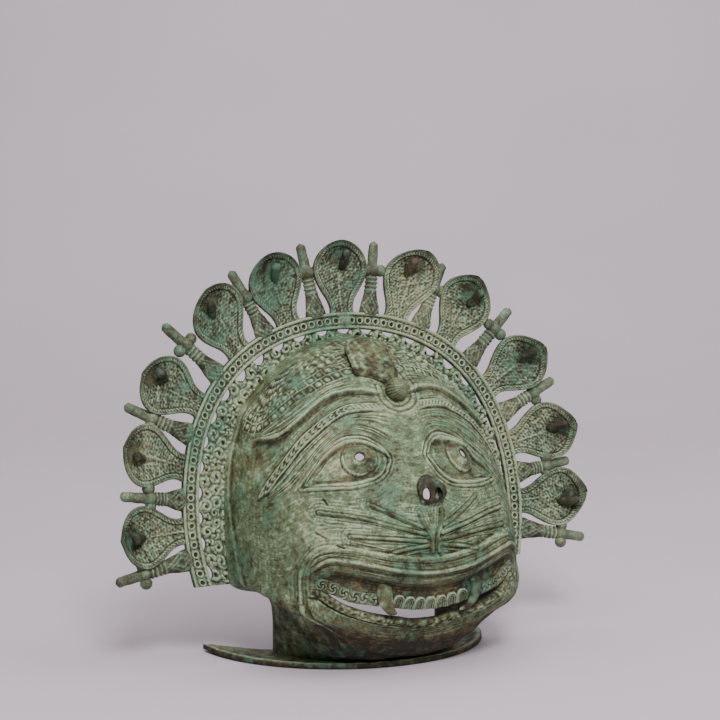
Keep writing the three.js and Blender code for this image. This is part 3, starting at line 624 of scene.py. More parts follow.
# %% Lips and corners
rubbed = np.maximum(0.25 * in_lips, 0.5 * between(14, 71) * spot(ledge_across, 2.5))
lip_across, _ = beside(gap_bottom)
upper_across, _ = beside(lip_line)
edge_across, _ = beside(lip_edge)
strip = in_lips * swell(lip_across, -6.4, -5.4, 0.0, 1.0)
ragged = uneven(base, 9.5, 0.4) + 0.7 * uneven(base, 4.2, 2.2)
pressed = np.clip(0.7 + 0.8 * uneven(base, 36, 0.7), 0.15, 1.2)
relief += strip * (1.1 + 1.1 * ragged) + in_lips * groove(lip_across + 6.9, 1.0, 1.4)
relief += in_lips * pressed * (groove(upper_across - 2.9, 0.95, 0.9) + groove(upper_across + 3.2, 0.9, 0.7))
relief += in_lips * (pressed * groove(edge_across - 3.4, 0.9, 0.8) + wire(edge_across - 1.2, 1.3, 0.6))
for side in (-1, 1):
    distance = near_path([[side * a, b] for a, b in CORNER_LOOP])
    furrows = np.abs(np.cos(math.pi * distance / 3.1)) - 0.6
    relief += wire(distance, 1.9, 0.8) + 0.36 * (1 - ease(distance, 7, 12)) * pressed * furrows
print("relief so far:", round(relief.min(), 2), "to", round(relief.max(), 2), "mm")

# %% [markdown]
# ## Eyes
# Each eye is an almond with a double outline: a sharp groove and a raised rim outside it. The iris is a
# low dome with faint rings round a drilled pupil. The eyes were placed by hand, so the right one sits a
# little nearer to the nose than the left. Shade is painted in a thin ring round each pupil and in a soft
# spot below it and to its right.

# %% Eye outlines and irises
LEFT_EYE = [[-49.7, 9.8], [-46.8, 10.23], [-44.2, 10.6], [-41.5, 11.0], [-37.1, 11.4], [-32.7, 11.66],
            [-28.3, 11.76], [-23.9, 11.77], [-20.4, 11.68], [-16.8, 11.5], [-14.4, 11.27], [-13.9, 11.07],
            [-15.1, 10.85], [-17, 10.6], [-20.4, 10.38], [-24.8, 10.25], [-30.1, 10.12], [-36.3, 10.03],
            [-44.2, 9.9], [-49.7, 9.8]]
RIGHT_EYE = [[42, 9.8], [38.2, 10.28], [34.4, 10.7], [30.6, 11.07], [25.8, 11.42], [19.2, 11.7],
             [12.6, 11.77], [7.8, 11.6], [5.3, 11.35], [4, 11.12], [5.9, 10.75], [8.8, 10.4], [13.5, 10.13],
             [23, 9.95], [32.5, 9.85], [42, 9.8]]
IRIS_RADIUS = 14
inside_eye = ease(level, EYE_BOTTOM, EYE_BOTTOM + 0.05) * (1 - ease(level, EYE_TOP - 0.05, EYE_TOP)) * lid
for outline in (LEFT_EYE, RIGHT_EYE):
    distance = near_path(outline)
    kept = np.clip(0.6 + 1.1 * uneven(base, 31, 1.0), 0.05, 1.2)
    rubbed = np.maximum(rubbed, 0.4 * spot(distance, 3))
    relief += groove(distance, 0.85, 1.0) * (0.6 + 0.4 * kept) + wire(distance - 1.7, 1.1, 0.45)
    relief += inside_eye * kept * (groove(distance - 4.6, 0.8, 0.5) + wire(distance - 5.6, 0.8, 0.3))
    relief += (1 - inside_eye) * kept * (groove(distance - 3.3, 0.8, 0.4) + wire(distance - 4.4, 0.9, 0.3))
eye_shade = np.zeros_like(level)
for pupil in (LEFT_PUPIL, RIGHT_PUPIL):
    from_centre = base - head_point(*pupil)
    distance = np.linalg.norm(from_centre, axis=-1)
    rings = 0.2 + 0.9 * (1 - distance / IRIS_RADIUS) + 0.09 * np.cos(distance * 2 * math.pi / 2.7)
    relief += (1 - ease(distance, IRIS_RADIUS - 1, IRIS_RADIUS + 0.6)) * rings
    lower_left = ease(-from_centre @ [0.7, 0.0, 0.7], 4, 10)
    relief += lower_left * wire(distance - 13.2, 1.0, 0.8)
    relief += groove(distance - IRIS_RADIUS - 0.6, 0.9, 0.35 + 0.5 * lower_left)
    relief += groove(distance - PUPIL_RADIUS, 1.2, 0.3)
    # Painted shade: a soft spot below and to the right of each pupil, and a thin ring at its edge.
    beside_pupil = np.linalg.norm(from_centre - np.array([7, -3, -4]), axis=-1)
    eye_shade += 0.6 * spot(beside_pupil, 8) + 0.5 * spot(distance - PUPIL_RADIUS, 1.1)
print("pupils stand", round(head_point(*RIGHT_PUPIL)[0] - head_point(*LEFT_PUPIL)[0], 1), "mm apart")

# %% [markdown]
# ## Collar, cheeks and edges
# Below the ball of the crest a collar sweeps round like a swirl of drapery. The cheeks are plainer, with
# faint upright strokes, and a smooth strip finishes the rear edge of the shell. A few nicks and a slow
# unevenness everywhere keep the surface from looking machined.

# %% Collar, strokes and nicks
COLLAR = [[-9, 13.5], [-8, 13.0], [-2, 12.75], [6, 12.85], [12, 13.1], [15, 13.5], [16, 14.0]]
NICKS = [[[-44, 8.35], [-40, 8.2]], [[-36, 8.0], [-33, 7.92]], [[-41, 9.55], [-39.5, 9.4]],
         [[-27, 12.45], [-24, 12.5]]]
distance = near_path(COLLAR)
relief += wire(distance, 1.9, 0.7) + groove(distance - 2.6, 1.1, 0.4) + wire(distance - 4.6, 1.5, 0.3)
rubbed = np.maximum(rubbed, 0.45 * spot(distance, 4))
strokes = swell(away_grid, 58, 66, 80, 84) * swell(level, 5.5, 6.5, 10.5, 11.5)
relief += 0.04 * strokes * np.sin(away_grid * 3.1 + 3 * uneven(base, 40))
edge_in = 86 - 4 * ease(level, 8.5, 5.4)
rim = 0.9 * ease(away_grid, edge_in - 1.2, edge_in + 0.4) - 0.22 * spot(away_grid - edge_in + 1.5, 1.2)
relief += swell(level, 4.6, 5.4, 11.3, 12.5) * rim
for nick in NICKS:
    relief += groove(near_path(nick), 1.1, 1.1)
relief += 0.22 * uneven(base, 9, 0.3) + 0.5 * uneven(base, 33, 3.1) + 0.13 * uneven(base, 4.3, 1.3)
relief += ease(-level, -3.4, -1.6) * 0.25 * uneven(base, 12, 5.0)
relief *= ease(away_grid, 90.2, 88.5)
print("rubbed share of the skin:", round(float((rubbed > 0.2).mean()), 2))

# %% [markdown]
# ## Lines of the whiskers
# The whiskers fan out from a forked strip under the nose. Their distance over the skin is kept, for a
# groove beside each and for shade painted along both sides. Faint furrows follow them over the muzzle.

# %% Whisker lines
WHISKERS = [
    [[-24, 9.55], [-14, 9.2], [-3, 8.73]],
    [[-43, 9.1], [-27, 9.07], [-11, 8.73], [-2, 8.5]],
    [[-31, 8.4], [-16, 8.38], [-2, 8.23]],
    [[-16, 7.8], [-10, 7.98], [-2, 8.08]],
    [[24, 9.55], [14, 9.2], [3, 8.75]],
    [[41, 8.8], [27, 8.88], [11, 8.68], [2, 8.5]],
    [[38, 8.2], [20, 8.38], [2, 8.28]],
    [[16, 7.72], [10, 7.92], [2, 8.08]],
]
FORK = [[4.4, 9.3], [3.2, 8.85], [1.3, 8.45], [0.8, 8.1], [0.9, 7.75]]
FORKS = [FORK, [[-a, b] for a, b in FORK]]
from_whisker = np.min([near_path(stops) for stops in WHISKERS + FORKS], axis=0)
furrows = np.abs(np.cos(math.pi * from_whisker / 2.7)) - 0.5
relief += groove(from_whisker - 2.1, 1.1, 0.45)
relief += 0.35 * (1 - ease(from_whisker, 9, 14)) * muzzle * furrows
print(len(WHISKERS), "whiskers, and relief from", round(relief.min(), 2), "to", round(relief.max(), 2), "mm")

# %% [markdown]
# ## The hollow head
# The skin is the form plus its relief, and the lining is the same grid one wall thickness in. Cells
# inside the mouth, the pupils and the nostrils are left out of both, and the border points are drawn on
# to a true circle, so that light shows through cleanly. The wall is thinner round the pupils.

# %% Skin, lining and openings
NOSE_X, NOSE_Z = 1.2, 141.5
NOSE_HOLE = 7.2
EYE_THINNING = 1.6
skin = base + normal * (rise + relief + eye_rise(base))[..., None]
from_pupils = np.min([np.linalg.norm(base - head_point(*p), axis=-1) for p in (LEFT_PUPIL, RIGHT_PUPIL)], 0)
wall_here = WALL - EYE_THINNING * (1 - ease(from_pupils, 4, 10))
lining_rise = np.minimum(rise, 0) + eye_rise(base) - wall_here + 0.15 * uneven(base, 34)
lining = base + normal * lining_rise[..., None]
middle_lon = 0.5 * (lon[1:] + lon[:-1])[None, :]
middle_place = 0.5 * (place[1:] + place[:-1])[:, None]
keep = (middle_place < GAP_LOW) | (middle_place > GAP_HIGH) | (np.abs(middle_lon) > GAP_END)


def corners(grid):
    return [grid[:-1, :-1], grid[1:, :-1], grid[:-1, 1:], grid[1:, 1:]]


def open_hole(offset, radius):
    distance = np.linalg.norm(offset, axis=-1)
    gone = 0.25 * sum(corners(distance)) < radius
    around = corners(np.pad(gone, 1))
    border = np.any(around, 0) & ~np.all(around, 0)
    pull = offset[border] * (radius / np.maximum(distance[border], 0.1) - 1)[:, None]
    skin[border] += pull
    lining[border] += pull
    keep[gone] = False
    return int(gone.sum())


for pupil in (LEFT_PUPIL, RIGHT_PUPIL):
    centre, facing = head_point(*pupil), head_normal(*pupil)
    offset = base - centre
    offset = offset - (offset @ facing)[..., None] * facing
    offset[np.linalg.norm(base - centre, axis=-1) > EYEBALL_RADIUS] = FAR
    print("pupil cells left out:", open_hole(offset, PUPIL_RADIUS))
print("cells left out behind the nose:", open_hole((base - [NOSE_X, 0, NOSE_Z]) * [1, 0, 1], NOSE_HOLE))

# %% [markdown]
# ## Marks for the patina
# Recesses and crests of the skin are measured by comparing each height with a blurred copy. Shade is
# painted in over the neck and under the jaw, along both sides of the whiskers and round the pupils, and
# the lower lip, upper lip and sunken gum are made darker. Two more marks say how far each point lies
# along and across the lines of the face.

# %% Marks and the head
# Painted shade round and below the pupils, and in a thin band along both sides of each whisker.
skin_mark = recess_mark(rise + relief) * (1 - rubbed) + eye_shade + 0.2 * spot(from_whisker - 2.0, 0.9)
# Painted shade over the neck and the underside of the jaw, up to just past the jaw ridge, weaker at the
# sides.
jaw_shade = (1 - ease(level - jaw, 0.2, 2.0)) * (1 - ease(level, 4, 5)) * (1 - 0.8 * ease(away_grid, 40, 56))
low_lip = in_lips * (1 - ease(level, gap_bottom, gap_bottom + 0.1)) * ease(level, jaw - 0.5, jaw)
high_lip = in_lips * ease(level, gum, lip_edge) * (1 - ease(level, lip_line + 0.2, lip_line + 0.5))
on_gum = in_lips * ease(level, gap_top, gap_top + 0.2) * (1 - ease(level, gum, lip_edge))
# Adds the dark strip, the painted shade under the jaw, and a darker lower lip, upper lip and gum.
skin_mark += 0.3 * strip + 0.8 * jaw_shade + 0.14 * low_lip + 0.2 * high_lip + 0.45 * on_gum
skin_mark += 0.2 * in_band * (0.3 + 1.4 * uneven(base, 31, 2.0)) - 0.16 * muzzle
flow = np.broadcast_to(np.array(row_mm)[:, None], level.shape).ravel()
along = np.broadcast_to(MM_PER_DEGREE * lon, level.shape).ravel()
marks = {"recess": both_skins(skin_mark, 0.6), "flow": np.tile(flow, 2), "along": np.tile(along, 2)}
points, faces = twin_sheet(skin, lining, keep)
head = add_piece("head", points, faces, marks, most=190000)
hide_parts("bhuta_mask")

# %% [markdown]
# ## Whiskers
# The whiskers are bold round cords that fan out from the forked strip under the nose and grow thinner
# outwards, with a finer cord below each. A cord is swept along the skin, half sunk in it, so it reads
# as laid on in wax before the casting.

# %% Cords laid on the skin
def round_cord(path, facing, radius, taper, sides=10, flat=1.0):
    along = unit(np.gradient(path, axis=0))
    across = unit(np.cross(along, facing))
    facing = np.cross(across, along)
    run = np.linspace(0, 1, len(path))
    length = np.linalg.norm(np.diff(path, axis=0), axis=-1).sum()
    from_end = np.minimum(run, 1 - run) * length
    blunt = np.sqrt(np.clip(1 - (1 - np.clip(from_end / np.max(radius), 0, 1)) ** 2, 0.05, 1))
    size = np.broadcast_to(radius, run.shape) * blunt * (1 - (1 - taper) * run) * (1 + 0.12 * uneven(path, 9))
    angle = np.linspace(0, 2 * math.pi, sides, endpoint=False)
    ring = across[:, None] * np.cos(angle)[:, None] + flat * facing[:, None] * np.sin(angle)[:, None]
    return loft(path[:, None] + ring * size[:, None, None])


def skin_cord(stops, radius, lift, taper):
    path = smooth_path(stops, 8 * len(stops) + 8)
    return round_cord(skin_point(*path, lift), head_normal(*path), radius, taper)


whiskers = [skin_cord(stops[::-1], 1.7, 0.6, 0.45) for stops in WHISKERS]
whiskers += [skin_cord([[a * 0.82, b - 0.17] for a, b in stops], 0.75, 0.25, 0.5) for stops in WHISKERS]
whiskers += [skin_cord([[side * a, b] for a, b in FORK], 1.25, 0.9, 0.9) for side in (-1, 1)]
points, faces = gather(whiskers)
add_piece("whiskers", points, faces, {"recess": 0.5 * uneven(points, 17) - 0.12})

# %% [markdown]
# ## Nose
# The nose is a short hollow snout like a stub of tube with an overhanging rim. Two oval nostrils pierce
# its thin front, so that light from the open back of the head shows through. It is lofted as one body,
# and booleans take out the hollow and the nostrils. Each station is a place along the snout with half
# its width and height, the height of its middle and how far its top leans back.

# %% Hollow snout
NOSE_SIDES = 64
angle = np.linspace(0, 2 * math.pi, NOSE_SIDES, endpoint=False)


def oval(y, half_width, half_height, z, tilt=0.0, x=NOSE_X):
    c, s = np.cos(angle), np.sin(angle)
    return np.stack([x + half_width * c, y + tilt * s, z + half_height * s], -1)


SNOUT = [(-78, 7, 9, 146, 3.5), (-84, 8.2, 9, 145.5, 3.2), (-89, 9.3, 9, 144.4, 2.8),
         (-93, 9.9, 8.8, 143.2, 2.2), (-96, 10.6, 8.6, 142.3, 1.8), (-98, 11.4, 8.7, 141.7, 1.5),
         (-99.6, 12, 8.6, 141.4, 1.4), (-100.8, 11.7, 8, 141.2, 1.4), (-101.3, 10.2, 6.8, 141.1, 1.3),
         (-100.8, 7.4, 4.8, 141.1, 1.1)]
HOLLOW = [(-66, 8, 8.5, 144.5, 0), (-90, 8.3, 7.6, 142.6, 1.5), (-98.6, 9.6, 6.9, 141, 1.4)]
NOSTRILS = (-4.6, 5.8)
NOSTRIL_HALF_WIDTH, NOSTRIL_HALF_HEIGHT, NOSTRIL_Z = 3.5, 4.9, 139.7
nose = add_piece("nose", *loft([oval(*station) for station in SNOUT]))


def cut_away(piece, cutter_parts):
    for part in cutter_parts:
        cutter = add_piece("cutter", *part)
        modifier = piece.modifiers.new("cut", "BOOLEAN")
        modifier.object = cutter
        modifier.operation = "DIFFERENCE"
        modifier.solver = "EXACT"
        keep_result(piece)
        bpy.data.objects.remove(cutter)
    piece.data.shade_smooth()
    piece.data.set_sharp_from_angle(angle=math.radians(50))


cutters = [loft([oval(*station) for station in HOLLOW])]
for x in NOSTRILS:
    ends = [oval(y, NOSTRIL_HALF_WIDTH, NOSTRIL_HALF_HEIGHT, NOSTRIL_Z, x=x) for y in (-95, -110)]
    cutters.append(loft(ends))
cut_away(nose, cutters)
print("nose after cutting:", len(nose.data.polygons), "faces")

# %% [markdown]
# ## Crest
# On the forehead a ribbed ball sits at the foot of a broad leaf that rises to the crown. The stem of
# the leaf flows into the skin, and its blade is a plate of wax whose edges stand clear of it. A row
# gives the level, the half width to each side and how far out the leaf stands.

# %% Leaf of the crest
def longitude_of_x(x, at_level):
    reach, square = (np.interp(at_level, np.arange(CROWN + 1), LEVELS[:, k]) for k in (EDGE_X, SQUARENESS))
    share = np.clip(np.abs(x) / np.maximum(reach, 12), 0, 0.97)
    return np.sign(x) * np.degrees(np.arcsin(share ** (square / 2)))


LEAF = [[13.6, 5, 7, 2.4], [13.7, 9, 9.5, 2.8], [13.77, 15, 10.5, 3.2], [13.82, 23, 11, 4.0],
        [13.95, 24.5, 11, 5.0], [14.3, 23, 12, 6.4], [14.6, 21, 14.5, 7.3], [14.78, 18, 14.5, 8.0],
        [14.88, 13, 11, 8.3], [14.94, 7, 6, 8.4]]
leaf_level, leaf_left, leaf_right, leaf_out = smooth_path(LEAF, 80)
u_leaf = np.sin(np.linspace(-1, 1, 61) * math.pi / 2)
x_leaf = u_leaf[None, :] * np.where(u_leaf < 0, leaf_left[:, None], leaf_right[:, None])
level_leaf = np.broadcast_to(leaf_level[:, None], x_leaf.shape)
lon_leaf = longitude_of_x(x_leaf, level_leaf)
dome = leaf_out[:, None] + 1.8 * (1 - u_leaf ** 2) + 0.5 * spot(np.abs(u_leaf) - 0.9, 0.06)
leaf_base = head_point(lon_leaf, level_leaf)
plate = ease(level_leaf, 13.8, 13.98)
dome = dome + 0.5 * uneven(leaf_base, 14) + 0.3 * uneven(leaf_base, 5, 1.0)
dome = dome + 2 * plate * ease(-u_leaf, 0.3, 1.0) - 1.6 * (1 - plate) * ease(np.abs(u_leaf), 0.35, 1)
thickness = 2.4 + 7 * np.maximum(ease(u_leaf, -0.1, 0.6), 1 - plate)
front = skin_point(lon_leaf, level_leaf, dome)
back = skin_point(lon_leaf, level_leaf, dome - thickness)
leaf_recess = both_skins(0.3 + recess_mark(dome, 2, 5), 0.8)
add_piece("crest_leaf", *twin_sheet(front, back), {"recess": leaf_recess})

# %% [markdown]
# ## The ribbed ball
# A ball is lofted from rings of latitude. Its ribs are grooves that fade at both poles, and its axis can
# be turned, here towards the viewer. The same function makes the small balls of the halo.

# %% Ribbed ball
BALL_CENTRE = np.array([0, -45.5, 214])
BALL_RADIUS = 9.2


def ball(centre, radius, around=24, up=14, ribs=0, depth=0.0, axis=None):
    theta = np.linspace(0.02, math.pi - 0.02, up + 1)
    phi = np.linspace(0, 2 * math.pi, around, endpoint=False)
    latitude, circle = np.sin(theta)[:, None], np.ones((up + 1, around))
    size = radius * (1 - depth * np.clip(-2 * np.cos(ribs * phi) - 1, 0, 1) * latitude) * circle
    rings = np.stack([size * latitude * np.cos(phi), size * latitude * np.sin(phi),
                      size * np.cos(theta)[:, None]], -1)
    if axis is not None:
        turn = np.array(Vector((0, 0, 1)).rotation_difference(Vector(axis)).to_matrix())
        rings = rings @ turn.T
    return loft(rings + centre)


points, faces = ball(BALL_CENTRE, BALL_RADIUS, 132, 40, ribs=22, depth=0.1, axis=(0.3, -0.9, 0.3))
from_centre = np.linalg.norm(points - BALL_CENTRE, axis=-1)
add_piece("crest_ball", points, faces, {"recess": 0.1 + 0.8 * (1 - ease(from_centre, 8.3, 9.1))})

# %% [markdown]
# ## Teeth
# A row of small round-headed teeth fills the middle of the upper gum, each with a double arch stamped
# round a flat centre. Little florets run on to the corners of the mouth. Each is a plaque set square on
# the gum, with a grid of heights for its face.

# %% Teeth and florets
TEETH = 7
TEETH_SPAN = 33
FLORETS = 7
FLORET_PITCH = 7.2
GAP_TOP_LEVEL = 5.7


def plaque(x, at_level, slope, half_width, half_height, heights, out, deep):
    rows, columns = heights.shape
    nearby = [(x + k, at_level + k * slope) for k in (-1, 0, 1)]
    start, middle, end = (head_point(longitude_of_x(np.array(a), b), b) for a, b in nearby)
    normal_here = head_normal(longitude_of_x(np.array(x), at_level), at_level)
    normal_here = unit(normal_here + np.array([0, -0.25, 0]))
    side = unit(end - start)
    side = unit(side - (side @ normal_here) * normal_here)
    up = np.cross(normal_here, side)
    up = up * np.sign(up[2])
    v = np.linspace(-half_height, half_height, rows)[:, None, None]
    h = np.linspace(-half_width, half_width, columns)[None, :, None]
    flat_points = middle + normal_here * out + v * up + h * side
    return twin_sheet(flat_points + heights[..., None] * normal_here, flat_points - deep * normal_here)


def line_at(stops, x, at_level):
    return float(read_line(stops, abs(float(longitude_of_x(np.array(float(x)), at_level)))))


def row_slope(x):
    return 0.5 * (line_at(GAP_TOP, x + 1, GAP_TOP_LEVEL) - line_at(GAP_TOP, x - 1, GAP_TOP_LEVEL))


v_tooth, u_tooth = np.meshgrid(np.linspace(-1, 1, 29), np.linspace(-1, 1, 29), indexing="ij")
arch = np.where(v_tooth > 0, np.hypot(u_tooth, v_tooth), np.abs(u_tooth))
tooth_height = wire(arch - 0.8, 0.17, 1.5) + wire(arch - 0.5, 0.13, 1.2) + 0.8 * (1 - ease(arch, 0.2, 0.42))
tooth_height = tooth_height - 2.2 * ease(arch, 0.95, 1.1)
tooth_parts, tooth_marks = [], []
pitch = 2 * TEETH_SPAN / TEETH


def add_tooth(part, heights):
    tooth_parts.append(part)
    tooth_marks.append(both_skins(0.2 + recess_mark(heights, 1, 4), 0.9))


for i in range(TEETH):
    x = -TEETH_SPAN + pitch * (i + 0.5)
    at = line_at(GAP_TOP, x, GAP_TOP_LEVEL) + 0.2
    add_tooth(plaque(x, at, row_slope(x), pitch * 0.52, 5.6, tooth_height, -3.2, 3.5), tooth_height)
swirl = np.hypot(u_tooth, v_tooth)
for side in (-1, 1):
    for k in range(FLORETS):
        x = side * (TEETH_SPAN + 15 + FLORET_PITCH * k)
        at = line_at(GAP_TOP, x, 5.8) + 0.12
        turn = np.cos(3 * np.arctan2(v_tooth, u_tooth) + (5 + k) * swirl + k)
        petals = np.sqrt(np.clip(1 - swirl ** 2, 0, 1)) * (0.6 + 0.4 * turn)
        floret = 1.4 * (petals - spot(swirl, 0.22))
        add_tooth(plaque(x, at, row_slope(x), 4.8, 4.8, floret, -2.6, 3.5), floret)
points, faces = gather(tooth_parts)
add_piece("teeth", points, faces, {"recess": np.concatenate(tooth_marks)})

# %% [markdown]
# ## Fangs
# The two fangs are flat and hooked, and their tips turn in towards each other over the gap. A station
# of a fang gives its level, its shift, half its width, how far out it stands and its thickness.

# %% Fangs
LEFT_FANG = [(6.48, 0, 3.0, -8, 5), (6.42, 0, 5.0, -6.2, 7), (6.25, 0, 6.0, -3.8, 7),
             (6.02, 0.3, 6.2, -2.4, 6), (5.84, 0.9, 6.0, -1.2, 5.5), (5.68, 2.0, 5.5, -0.2, 5),
             (5.54, 3.6, 5.0, 0.5, 4.6), (5.42, 5.4, 4.7, 0.9, 4.2), (5.33, 7.0, 4.5, 1, 4.0),
             (5.27, 8.0, 3.9, 1, 3.7), (5.23, 8.6, 3.0, 0.9, 3.0), (5.205, 9.0, 1.6, 0.8, 2.0)]
RIGHT_FANG = [(6.4, 5, 2.4, -7.5, 5), (6.32, 5, 4.0, -6, 6.5), (6.2, 4.8, 4.6, -3.8, 6),
              (6.0, 4.2, 4.4, -2.6, 5.5), (5.78, 3.2, 4.2, -1.4, 5), (5.58, 1.4, 4.0, -0.4, 4.6),
              (5.4, -1.0, 3.8, 0.4, 4.2), (5.26, -3.8, 3.5, 0.9, 3.8), (5.16, -6.2, 3.2, 1, 3.4),
              (5.1, -8, 2.6, 0.9, 3.0), (5.07, -8.8, 1.4, 0.8, 2.0)]


def squarish(wave):
    return np.sign(wave) * np.abs(wave) ** 0.7


def fang(x, stations):
    ring = np.linspace(0, 2 * math.pi, 24, endpoint=False)
    rows = np.array(smooth_path(stations, 40))[..., None]
    at_level, shift, half, out, thick = rows + np.zeros_like(ring)
    lon_ring = longitude_of_x(x + shift + squarish(np.cos(ring)) * half, at_level)
    return loft(skin_point(lon_ring, at_level, out + squarish(np.sin(ring)) * thick / 2))


points, faces = gather([fang(-41, LEFT_FANG), fang(37, RIGHT_FANG)])
add_piece("fangs", points, faces, {"recess": 0.2 + 0.6 * uneven(points, 9)})

# %% [markdown]
# ## Flange
# The mask stands on a half-round plate with a horn at each end. It is dished, with a rounded rim, and its
# left horn was bent up a little. Its inner edge follows a few stops and never cuts into the neck.

# %% The half-round flange
INNER_STOPS = [[180, 113], [192, 96], [206, 80], [214, 68], [270, 68]]
HORN_LIFT = 1.8
flange_angles = np.linspace(180, 360, 181)
folded = np.where(flange_angles <= 270, flange_angles, 540 - flange_angles)
inner_radius = np.interp(folded, *np.array(INNER_STOPS, float).T)
radians_round = np.radians(flange_angles)[:, None]
neck_ring = skin_point(np.linspace(-90, 90, 181), np.zeros(181), -WALL / 2)
neck_angle = np.degrees(np.arctan2(neck_ring[:, 1] - FLANGE_CENTRE_Y, neck_ring[:, 0])) % 360
neck_radius = np.hypot(neck_ring[:, 0], neck_ring[:, 1] - FLANGE_CENTRE_Y)
under_neck = (flange_angles > neck_angle.min()) & (flange_angles < neck_angle.max())
order = np.argsort(neck_angle)
at_neck = np.interp(flange_angles, neck_angle[order], neck_radius[order])
inner_radius = np.where(under_neck, np.maximum(inner_radius, at_neck), inner_radius)
section = np.linspace(0, 1, 28)
radius = inner_radius[:, None] + (FLANGE_RADIUS - inner_radius)[:, None] * section[None, :]
top_height = 3.0 + 1.4 * ease(section, 0.72, 0.93) - 1.4 * ease(section, 0.95, 1.0)
lift = HORN_LIFT * ease(180 - flange_angles, -26, 0)[:, None]
plan = np.stack([radius * np.cos(radians_round), FLANGE_CENTRE_Y + radius * np.sin(radians_round)], -1)
ground = np.zeros(plan.shape[:2])
height = top_height + lift + 0.25 * uneven(np.dstack([plan, ground]), 13)
sheets = twin_sheet(np.dstack([plan, height]), np.dstack([plan, ground + lift + 0.02]))
add_piece("flange", *sheets, {"recess": both_skins(recess_of(height, 3), 0.5)})

# %% [markdown]
# ## The leaning plane of the halo
# Everything behind the face lies in one plane that leans back from its foot. A point of it is found from
# an angle at the top of the arch, a radius and a distance out towards the viewer. The arch was bent by
# hand and is a little flat at its shoulders.

# %% Points of the halo
HALO_LEAN = math.radians(9.6)
HALO_CENTRE = 115.4
HALO_CUT = 66
BAND_RADIUS = 150
BAND_HALF = 6.9


def arch_point(angle, radius, out, sideways=0.0):
    a = np.radians(angle)
    across = radius * np.sin(a) + sideways * np.cos(a)
    up = HALO_CENTRE + radius * np.cos(a) - sideways * np.sin(a)
    y = up * math.sin(HALO_LEAN) - out * math.cos(HALO_LEAN)
    z = up * math.cos(HALO_LEAN) + out * math.sin(HALO_LEAN)
    return np.stack(np.broadcast_arrays(across, y, z), -1)


def band_radius(angle):
    a = np.radians(angle)
    return BAND_RADIUS * (1 + 0.0056 * np.cos(2 * a) + 0.004 * np.cos(3 * a) - 0.0195 * np.cos(4 * a))


BAND_END = math.degrees(math.acos((HALO_CUT - HALO_CENTRE) / BAND_RADIUS)) + 1
print("the band runs to", round(BAND_END, 1), "degrees each side")

# %% [markdown]
# ## The band of the halo
# The band is a flat strip with a smooth raised cord along each edge. Between the cords runs a row of
# ring stamps, each with a dark centre, and little crossed wires fill the corners between the rings. A
# plain knot marks the top, and both feet are cut level.

# %% Ring-stamped band
FOOT_LINE = 63
RING_PITCH = 7.3
KNOT_RISE = 4.2


def level_foot(angles, radii):
    end = np.degrees(np.arccos((FOOT_LINE - HALO_CENTRE) / radii))
    return angles + np.sign(angles) * (end - BAND_END) * ease(np.abs(angles), 98, BAND_END)


band_angles = np.linspace(-BAND_END, BAND_END, 900)
across_band = np.linspace(-BAND_HALF, BAND_HALF, 29)
ring_angle_grid, ring_across = np.meshgrid(band_angles, across_band, indexing="ij")
band_path = band_radius(band_angles)
steps = np.hypot(np.diff(band_path), band_path[1:] * np.radians(np.diff(band_angles)))
run = np.concatenate([[0], np.cumsum(steps)])
run = (run - run[-1] / 2)[:, None]
along_ring = np.mod(run + RING_PITCH / 2, RING_PITCH) - RING_PITCH / 2
from_ring = np.hypot(along_ring, ring_across)
between_rings = RING_PITCH / 2 - np.abs(along_ring)
height = 1.0 + wire(np.abs(ring_across) - (BAND_HALF - 1.5), 1.5, 2.0)
height = height + wire(from_ring - 2.4, 0.85, 1.1) - 0.8 * (from_ring < 1.6)
cross_wire = wire(np.abs(ring_across) - 1.25 * between_rings - 1.4, 0.6, 0.7) * (np.abs(ring_across) < 4.4)
height = height + cross_wire * (from_ring > 2.6)
flat_points = arch_point(ring_angle_grid, band_radius(ring_angle_grid), 0)
height = height + 0.25 * uneven(flat_points, 9) + 0.15 * uneven(flat_points, 3.5)
knot = np.exp(-((run / 6) ** 4)) * np.clip(1 - (ring_across / 8) ** 2, 0, 1)
height = height * (1 - knot) + knot * KNOT_RISE
radius_grid = band_radius(ring_angle_grid) + ring_across
foot_angle = level_foot(ring_angle_grid, radius_grid)
sheets = twin_sheet(arch_point(foot_angle, radius_grid, height), arch_point(foot_angle, radius_grid, -1.6))
band_mark = recess_mark(height, 1, 4) - 0.1 + 0.4 * (1 - ease(from_ring, 1.2, 2.0)) * (1 - knot)
add_piece("halo_band", *sheets, {"recess": both_skins(band_mark, 0.4)})

# %% [markdown]
# ## The lace
# Between the shell and the band lies a lace of small florets and curls, pierced along the band. It is
# one sheet whose outer border swings in to leave an opening at every pitch. Each floret is a swirl of
# petals round a deep eye, and four rows of them are strewn with a little chance in place and size.

# %% Lace of florets
edge_levels = np.linspace(CROWN - 0.15, 5.05, 60)
edge_points = head_point(90, edge_levels)
edge_up = edge_points[:, 2] / math.cos(HALO_LEAN) - HALO_CENTRE
edge_angles = np.degrees(np.arctan2(edge_points[:, 0], edge_up))
edge_radii = np.hypot(edge_points[:, 0], edge_up)
lace_angles = np.linspace(-BAND_END, BAND_END, 820)
inner_edge = np.interp(np.abs(lace_angles), edge_angles, edge_radii) - 4
OPENINGS = 27
OPENING_DEPTH = 5.5
FLORET_RISE = 3.2
FLORET_ROWS = [(5.4, 9.3, 5.0), (13.6, 8.8, 4.8), (21.5, 9.0, 4.8), (29.0, 9.0, 4.6)]
opening_place = (lace_angles / BAND_END + 1) / 2 * OPENINGS
notch = OPENING_DEPTH * np.sqrt(np.clip(1 - (np.mod(opening_place, 1) - 0.5) ** 2 / 0.085, 0, 1))
notch = notch * (1 + 0.5 * spot(np.abs(lace_angles) - 38, 12))
outer_edge = band_radius(lace_angles) - BAND_HALF + 2.0 - notch
